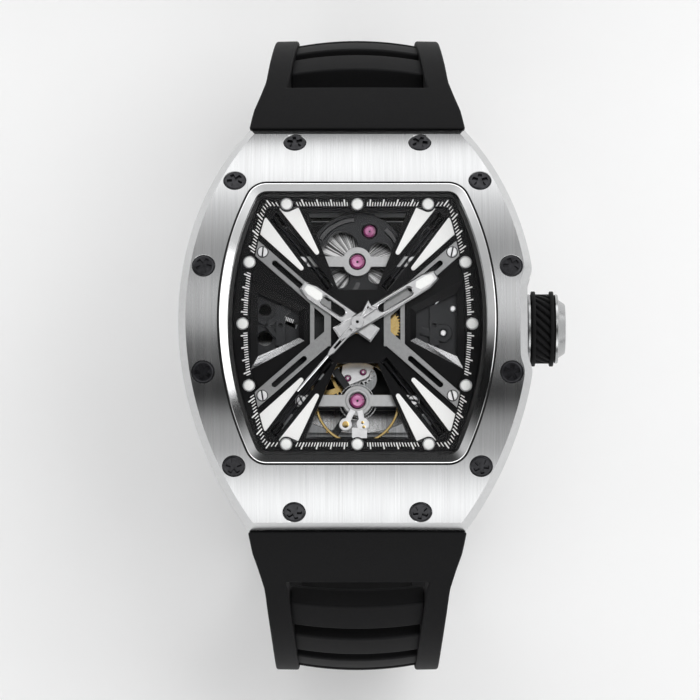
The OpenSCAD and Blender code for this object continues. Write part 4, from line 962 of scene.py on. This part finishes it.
def make_regulator():
    shape = bmesh.new()
    turned(shape, BALANCE, INDEX_RING, 60, 1, BAR_TOP)
    for degrees, reach in INDEX_ARMS:
        path = outward(BALANCE, degrees, (1.3, 2.0, 2.6, reach))
        bead(shape, path, ARM_HALF, BAR_TOP, BAR_TOP + ARM_T, 0, 0.2)
        turned(shape, path[-1], ARM_END, base=BAR_TOP)
    left, reach = INDEX_ARMS[0]
    turned(shape, outward(BALANCE, left, [reach])[0], GILT_CAP, 40, 2, BAR_TOP)
    for place in GILT_STUDS:
        turned(shape, place, GILT_STUD, 24, 2, BAR_TOP)
    for corner in bmesh.ops.create_cube(shape, size=1.0)["verts"]:
        x, y, z = (at + share * size for at, share, size in zip(BLOCK_AT, corner.co, BLOCK_SIZE))
        corner.co = world((x, y, PLATE_TOP + z))
    mats = ["screw_bright", "bridge_grey", "gilt"]
    piece_from(shape, "regulator_piece", "watch", mats, ["regulator"])


HAND_W, HAND_T, HAND_BEVEL, HAND_SLOT_R, HAND_TAPER, HAND_TIP = 2.0, 0.25, 0.18, 0.5, 1.5, 0.56
# Each hand's body, length, start and length of its slot, tail, level and direction in degrees from 12 o'clock
HANDS = {
    "hour_hand": ("hour", 8.2, 1.9, 3.4, 2.65, 0.5, 304.9),
    "minute_hand": ("minute", 11.3, 3.0, 4.8, 2.9, 1.0, 58.6),
}
SECONDS_LOW, SECONDS_TOP, SECONDS_AT = 1.5, 1.7, 220.7
FRAME_RIM = [(-0.42, 0.7), (0.42, 0.7), (0.36, 4.7), (0.1, 5.6), (-0.1, 5.6), (-0.36, 4.7)]
FRAME_HOLE = [(-0.2, 1.2), (0.2, 1.2), (0.14, 4.3), (-0.14, 4.3)]
TAIL_RIM = [(-0.22, -0.7), (-0.75, -2.9), (0.0, -2.6), (0.75, -2.9), (0.22, -0.7)]
TAIL_HOLE = [(-0.08, -1.15), (-0.36, -2.42), (0.0, -2.24), (0.36, -2.42), (0.08, -1.15)]
NEEDLE, NEEDLE_HALF, NEEDLE_TOP = [(0, 5.2), (0, 7.0), (0, 9.0), (0, 11.2)], 0.13, 1.68
SECONDS_HUB = [(0.8, 1.35), (0.8, 1.68), (0.72, 1.76), (0.2, 1.76), (0.17, 1.7)]
# The hub's pit, lined in black as painted shade
SECONDS_PIT = [(0.17, 1.7), (0.15, 1.5), (0, 1.5)]


def pointed(points, degrees):
    """Turns points from 12 o'clock to a hand's place on the dial."""
    c, s = math.cos(math.radians(degrees)), math.sin(math.radians(degrees))
    return [(x * c + y * s, y * c - x * s) for x, y in points]


def inset(points, by):
    """Moves every side of a polygon inwards, or outwards where by is negative."""
    moved = []
    count = len(points)
    for i in range(count):
        here = Vector(points[i])
        before = (here - Vector(points[i - 1])).normalized()
        after = (Vector(points[(i + 1) % count]) - here).normalized()
        left, right = Vector((-before.y, before.x)), Vector((-after.y, after.x))
        moved.append(tuple(here + (left + right) * by / (1 + left.dot(right))))
    return moved


def plate_with_hole(shape, rim, hole, low, high, chamfer):
    """Adds a flat plate with one hole, its top edges chamfered; the chamfers take the second material."""
    loops = []
    for outline, sign in ((rim, 1), (hole, -1)):
        rows = []
        for by, z in ((0, low), (0, high - chamfer), (sign * chamfer, high)):
            rows.append([shape.verts.new(world((x, y, z))) for x, y in inset(outline, by)])
        skin(shape, rows, (0, 1))
        loops.append(rows[-1])
    edges = [shape.edges.get((row[i], row[(i + 1) % len(row)])) for row in loops for i in range(len(row))]
    bmesh.ops.triangle_fill(shape, use_beauty=True, use_dissolve=True, edges=edges)


def stadium(r, start, end, steps=12):
    """Outline of a slot along the hand, anticlockwise."""
    turns = [math.pi * i / steps for i in range(steps + 1)]
    top = [(r * math.cos(a), end + r * math.sin(a)) for a in turns]
    return top + [(-r * math.cos(a), start - r * math.sin(a)) for a in turns]


def make_hands():
    half = HAND_W / 2
    for name, (body, length, slot_from, slot_len, tail, low, degrees) in HANDS.items():
        shape = bmesh.new()
        shoulder = length - HAND_TAPER
        rim = [(-half, -tail), (half, -tail), (half, shoulder), (HAND_TIP, length), (-HAND_TIP, length),
               (-half, shoulder)]
        hole = stadium(HAND_SLOT_R, slot_from + HAND_SLOT_R, slot_from + slot_len - HAND_SLOT_R)
        plate_with_hole(shape, pointed(rim, degrees), pointed(hole, degrees), low, low + HAND_T, HAND_BEVEL)
        piece_from(shape, name + "_piece", body, ["hand_satin", "hand_polished"], [name])


def make_seconds_hand():
    shape = bmesh.new()
    for rim, hole, edge in ((FRAME_RIM, FRAME_HOLE, 0.07), (TAIL_RIM, TAIL_HOLE, 0.06)):
        rim, hole = pointed(rim, SECONDS_AT), pointed(hole, SECONDS_AT)
        plate_with_hole(shape, rim, hole, SECONDS_LOW, SECONDS_TOP, edge)
    bead(shape, pointed(NEEDLE, SECONDS_AT), NEEDLE_HALF, SECONDS_LOW, NEEDLE_TOP, 1, 0.5)
    turned(shape, (0, 0), SECONDS_HUB, 60)
    turned(shape, (0, 0), SECONDS_PIT, 30, 2)
    mats = ["hand_satin", "hand_polished", "black_and_painted_shade"]
    piece_from(shape, "seconds_hand_piece", "seconds", mats, ["seconds_hand"])


GRIP_BORE, GRIP_R, GRIP_EDGE, GRIP_CUT, GRIP_RIBS, GRIP_TWIST = 3.7, 4.27, 0.05, 0.34, 24, math.radians(-34)


def make_crown_grip():
    """Rubber grip: two plain flanges with slanting rounded ribs between them."""
    low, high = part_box("crown_grip")
    centre = (low + high) / 2
    flange = (high.z - low.z) / 2
    edge = flange - GRIP_EDGE * MM
    bore, ribbed = GRIP_BORE * MM, GRIP_R * MM
    around = 384
    shape = bmesh.new()
    stations = [(0.0, bore), (0.0, edge), (0.02, flange), (0.15, flange), (0.17, edge)]
    stations += [(0.17 + 0.66 * i / 12, ribbed) for i in range(13)]
    stations += [(0.83, edge), (0.85, flange), (0.98, flange), (1.0, edge), (1.0, bore)]
    rows = []
    for t, r in stations:
        row = []
        for a in (math.tau * i / around for i in range(around)):
            wave = 0.5 + 0.5 * math.cos(GRIP_RIBS * (a + GRIP_TWIST * t))
            cut = GRIP_CUT * MM * (1 - min(1.0, 2.2 * wave)) if r == ribbed else 0
            row.append(shape.verts.new((low.x + (high.x - low.x) * t, centre.y + (r - cut) * math.cos(a),
                                        centre.z + (r - cut) * math.sin(a))))
        rows.append(row)
    skin(shape, rows)
    piece_from(shape, "crown_grip_piece", "crown_assembly", ["rubber"], ["crown_grip"], 50)


# The balance's level, its rim and hub, and the directions of its arms
BALANCE_LOW = -2.9
RIM = [(4.84, 0), (4.84, 0.38), (4.9, 0.45), (5.12, 0.45), (5.2, 0.38), (5.2, 0)]
HUB = [(0.9, 0.05), (0.9, 0.4), (0.8, 0.45), (0, 0.45)]
ARMS, RIM_SCREWS = (125, 235, 0), 12


def make_balance():
    """Balance: a slim polished rim with its screws, on flat dark arms."""
    shape = bmesh.new()
    low = BALANCE_LOW
    turned(shape, BALANCE, RIM, 120, 0, low)
    turned(shape, BALANCE, HUB, 40, 1, low)
    for degrees in ARMS:
        bead(shape, outward(BALANCE, degrees, (0.6, 2.0, 3.4, 4.86)), 0.46, low + 0.1, low + 0.35, 1, 0.2)
    for i in range(RIM_SCREWS):
        path = outward(BALANCE, 360 / RIM_SCREWS * (i + 0.5), (5.16, 5.24, 5.34))
        bead(shape, path, 0.15, low + 0.1, low + 0.36, 0, 0.4)
    piece_from(shape, "balance_piece", "balance_assembly", ["gilt", "anthracite"], ["balance"])


BRIDGE_ARCS = (arc(BARREL, 5.35, 94, 147), arc(BARREL, 5.35, 28, 50), arc((-2.2, 5.9), 2.35, -75, -12))


def make_bridge_arcs():
    shape = bmesh.new()
    for path in BRIDGE_ARCS:
        bead(shape, path, 0.26, PLATE_TOP - 0.05, PLATE_TOP + 0.05, 0, 0.3)
    piece_from(shape, "bridge_arcs", "watch", ["arc_grey"])


CHANNEL_IN, CHANNEL_OUT, CHANNEL_FLOOR = (3.35, 4.6), (10.2, 13.3), -1.6
# Each bar's start and end as shares of the channel, its half width, top and material
CHANNEL_BARS = ((0.0, 0.14, 0.42, -0.75, 0), (0.86, 1.0, 0.42, -0.75, 0), (0.14, 0.86, 0.16, -1.0, 1))


def make_channel_blocks():
    """Dark satin bars that close both ends of each channel, and the rod between them."""
    shape = bmesh.new()
    for inner, outer in zip(mirrored(*CHANNEL_IN), mirrored(*CHANNEL_OUT)):
        for start, end, half, high, mat in CHANNEL_BARS:
            path = [tuple(Vector(inner).lerp(Vector(outer), start + (end - start) * i / 4)) for i in range(5)]
            bead(shape, path, half, CHANNEL_FLOOR, high, mat, 0.6)
    piece_from(shape, "channel_blocks", "watch", ["dial_black", "black_and_painted_shade"])


# Levers on the plate with their half widths, the boss, and the studs, as heights above the plate
LEVERS = (([(-12.4, 0.9), (-11.2, 0.2), (-9.9, 0.9), (-8.4, 2.1)], 0.42),
          ([(-11.2, 0.2), (-10.2, -1.0), (-9.2, -1.9)], 0.36),
          ([(7.8, -0.6), (8.9, -0.9), (9.6, -0.9)], 0.5))
BOSS_AT, BOSS = (10.5, -0.9), [(1.15, 0), (1.15, 0.2), (1.05, 0.28), (0.55, 0.28), (0.5, 0.2)]
PLATE_STUDS, PLATE_STUD = (BOSS_AT, (11.7, 2.1)), [(0.36, 0), (0.36, 0.42), (0.28, 0.5), (0, 0.5)]
# A row of small slanting teeth: its ends, their number and half the run of each
TEETH_FROM, TEETH_TO, TEETH, TOOTH = (-8.9, 0.95), (-7.9, 0.55), 6, (0.06, 0.22)


def make_plate_relief():
    """Levers, bosses and studs that stand on the plate in the two side pockets."""
    shape = bmesh.new()
    for path, half in LEVERS:
        bead(shape, path, half, PLATE_TOP - 0.02, PLATE_TOP + 0.35, 0, 0.4)
    turned(shape, BOSS_AT, BOSS, base=PLATE_TOP)
    for place in PLATE_STUDS:
        turned(shape, place, PLATE_STUD, 32, 1, PLATE_TOP)
    for i in range(TEETH):
        x, y = Vector(TEETH_FROM).lerp(Vector(TEETH_TO), i / (TEETH - 1))
        path = [(x + end * TOOTH[0], y + end * TOOTH[1]) for end in (-1, 0, 1)]
        bead(shape, path, TOOTH[0], PLATE_TOP, PLATE_TOP + 0.3, 1)
    piece_from(shape, "plate_relief", "watch", ["anthracite", "screw_bright"])


# Flat parts whose edges catch the light: body, slot, materials and chamfer in millimetres

CHAMFERED = {
    # The dial frame's second material is painted light on its bevels facing 12 o'clock
    "dial_frame": ("watch", "dial_black", "dial_black dial_bevel", 0.05),
    "wedge_inlays": ("watch", "inlay_white", "inlay_white", 0.04),
    "side_bridges": ("watch", "bridge_grey", "strip_grey bridge_grey", 0.13),
    "barrel_bar": ("watch", "bridge_grey", "bridge_grey steel_polished", 0.12),
    "balance_bar": ("watch", "bridge_grey", "bridge_grey steel_polished", 0.12),
    "barrel_bridge": ("watch", "movement_anthracite", "anthracite arc_grey", 0.10),
    "main_plate": ("watch", "movement_anthracite", "anthracite arc_grey", 0.08),
    "escape_cock": ("watch", "polished_steel", "screw_bright", 0.06),
    "crown": ("crown_assembly", "polished_steel", "crown_satin", 0.08),
    "case_middle": ("watch", "case_steel", "case_brushed", 0.12),
    "caseback": ("watch", "case_steel", "back_brushed", 0.12),
    "clasp_cover": ("watch", "case_steel", "back_brushed", 0.25),
}


# How far a face must lean towards 12 o'clock for its second material, on the dial frame and elsewhere; on the
# dial frame this picks the bevels that get painted light
PAINTED_LIGHT_LEAN, ALL_ROUND = 0.2, -1.0


def make_chamfered():
    for node, (body, slot, mats, width) in CHAMFERED.items():
        refined(node, body, mats.split(), width, PAINTED_LIGHT_LEAN if node == "dial_frame" else ALL_ROUND)


make_bezel()
make_bezel_screws()
make_strap()
make_minute_track()
make_chamfered()
make_jewels()
make_dots()
make_small_screws()
make_regulator()
make_hands()
make_seconds_hand()
make_crown_grip()
make_balance()
make_bridge_arcs()
make_channel_blocks()
make_plate_relief()


# Stage, camera and light

PHOTO_PX = 700
MM_PER_PX = 0.122
HAND_AXIS_PX = (357.4, 323.8)
CAMERA_TILT = math.radians(8)
CAMERA_DISTANCE = 500 * MM
SENSOR_W = 36
KEY_PLACE, KEY_SIZE, KEY_POWER = (0.28, 0.1, 0.55), 0.4, 1.0


def make_camera():
    data = bpy.data.cameras.new("camera")
    cam = new_object("camera", data)
    back = Vector((0, -math.sin(CAMERA_TILT), math.cos(CAMERA_TILT)))
    up = Vector((0, math.cos(CAMERA_TILT), math.sin(CAMERA_TILT)))
    right = (PHOTO_PX / 2 - HAND_AXIS_PX[0]) * MM_PER_PX * MM
    down = (PHOTO_PX / 2 - HAND_AXIS_PX[1]) * MM_PER_PX * MM
    target = Vector((right, 0, DIAL_Z)) - up * down
    cam.location = target + back * CAMERA_DISTANCE
    cam.rotation_mode = "QUATERNION"
    cam.rotation_quaternion = back.to_track_quat("Z", "Y")
    data.sensor_width = SENSOR_W
    data.lens = SENSOR_W * CAMERA_DISTANCE / (PHOTO_PX * MM_PER_PX * MM)
    data.clip_start = 0.01
    bpy.context.scene.camera = cam


def make_key_light():
    data = bpy.data.lights.new("key", "AREA")
    data.shape = "RECTANGLE"
    data.size, data.size_y = KEY_SIZE, KEY_SIZE
    data.energy = KEY_POWER
    lamp = new_object("key", data)
    lamp.location = KEY_PLACE
    lamp.rotation_mode = "QUATERNION"
    lamp.rotation_quaternion = (Vector((0, 0, DIAL_Z)) - lamp.location).to_track_quat("-Z", "Y")


# The floor lies a hair below the clasp, so that the two flat faces never share a plane
FLOOR_GAP, FLOOR_HALF = 0.05 * MM, 1.5


def make_floor():
    shape = bmesh.new()
    bmesh.ops.create_grid(shape, x_segments=2, y_segments=2, size=FLOOR_HALF)
    bmesh.ops.translate(shape, verts=shape.verts, vec=(0, 0, cad_low.z - FLOOR_GAP))
    mesh = mesh_of(shape, "floor")
    mat = material("floor", grey(0.93), 0.7)
    two_tone(mat, grain(mat, 40), grey(0.92), grey(0.94))
    mesh.materials.append(mat)
    new_object("floor", mesh)


# How bright the studio is, by angle from straight up towards 12 o'clock
STUDIO = [(-90, 0.03), (-74, 0.05), (-65, 1.0), (-56, 1.0), (-50, 0.8), (-44, 0.5), (-38, 0.32),
          (-28, 0.28), (-24, 0.16), (-20, 0.0), (1, 0.0), (6, 0.2), (12, 0.27), (24, 0.22), (34, 0.25),
          (41, 0.36), (50, 0.52), (58, 0.8), (64, 1.0), (75, 1.0), (81, 0.14), (90, 0.1)]
STUDIO_LEVEL = 2.5
# Side panels low on both sides: how far a direction leans to the side where they start and are full
PANEL_LEAN, PANEL_LEVEL = (0.74, 0.9), 0.36


def make_world():
    """Broad soft boxes at 12 and 6 o'clock with a darker gap overhead, as a ramp over the sky's angle."""
    sky = bpy.data.worlds.new("studio")
    sky.use_nodes = True
    bpy.context.scene.world = sky
    split = add(sky, "ShaderNodeSeparateXYZ")
    link(sky, add(sky, "ShaderNodeTexCoord").outputs["Generated"], split.inputs["Vector"])
    angle = add(sky, "ShaderNodeMath", operation="ARCTAN2")
    link(sky, split.outputs["Y"], angle.inputs[0])
    link(sky, split.outputs["Z"], angle.inputs[1])
    ramp = add(sky, "ShaderNodeValToRGB")
    stops = ramp.color_ramp.elements
    for _ in range(len(STUDIO) - 2):
        stops.new(0.5)
    for stop, (degrees, level) in zip(stops, STUDIO):
        stop.position = (degrees + 90) / 180
        stop.color = (*grey(level), 1)
    quarter = math.pi / 2
    link(sky, spread(sky, angle.outputs["Value"], 0.0, 1.0, -quarter, quarter), ramp.inputs["Fac"])
    lean = add(sky, "ShaderNodeMath", operation="ABSOLUTE")
    link(sky, split.outputs["X"], lean.inputs[0])
    both = add(sky, "ShaderNodeMix", data_type="RGBA")
    both.inputs["B"].default_value = (*grey(PANEL_LEVEL), 1)
    link(sky, spread(sky, lean.outputs["Value"], 0.0, 1.0, *PANEL_LEAN), both.inputs["Factor"])
    link(sky, ramp.outputs["Color"], both.inputs["A"])
    background = sky.node_tree.nodes["Background"]
    background.inputs["Strength"].default_value = STUDIO_LEVEL
    link(sky, both.outputs["Result"], background.inputs["Color"])


def make_stage():
    make_floor()
    make_world()
    make_key_light()
    bpy.context.scene.view_settings.view_transform = "Standard"


make_camera()
make_stage()
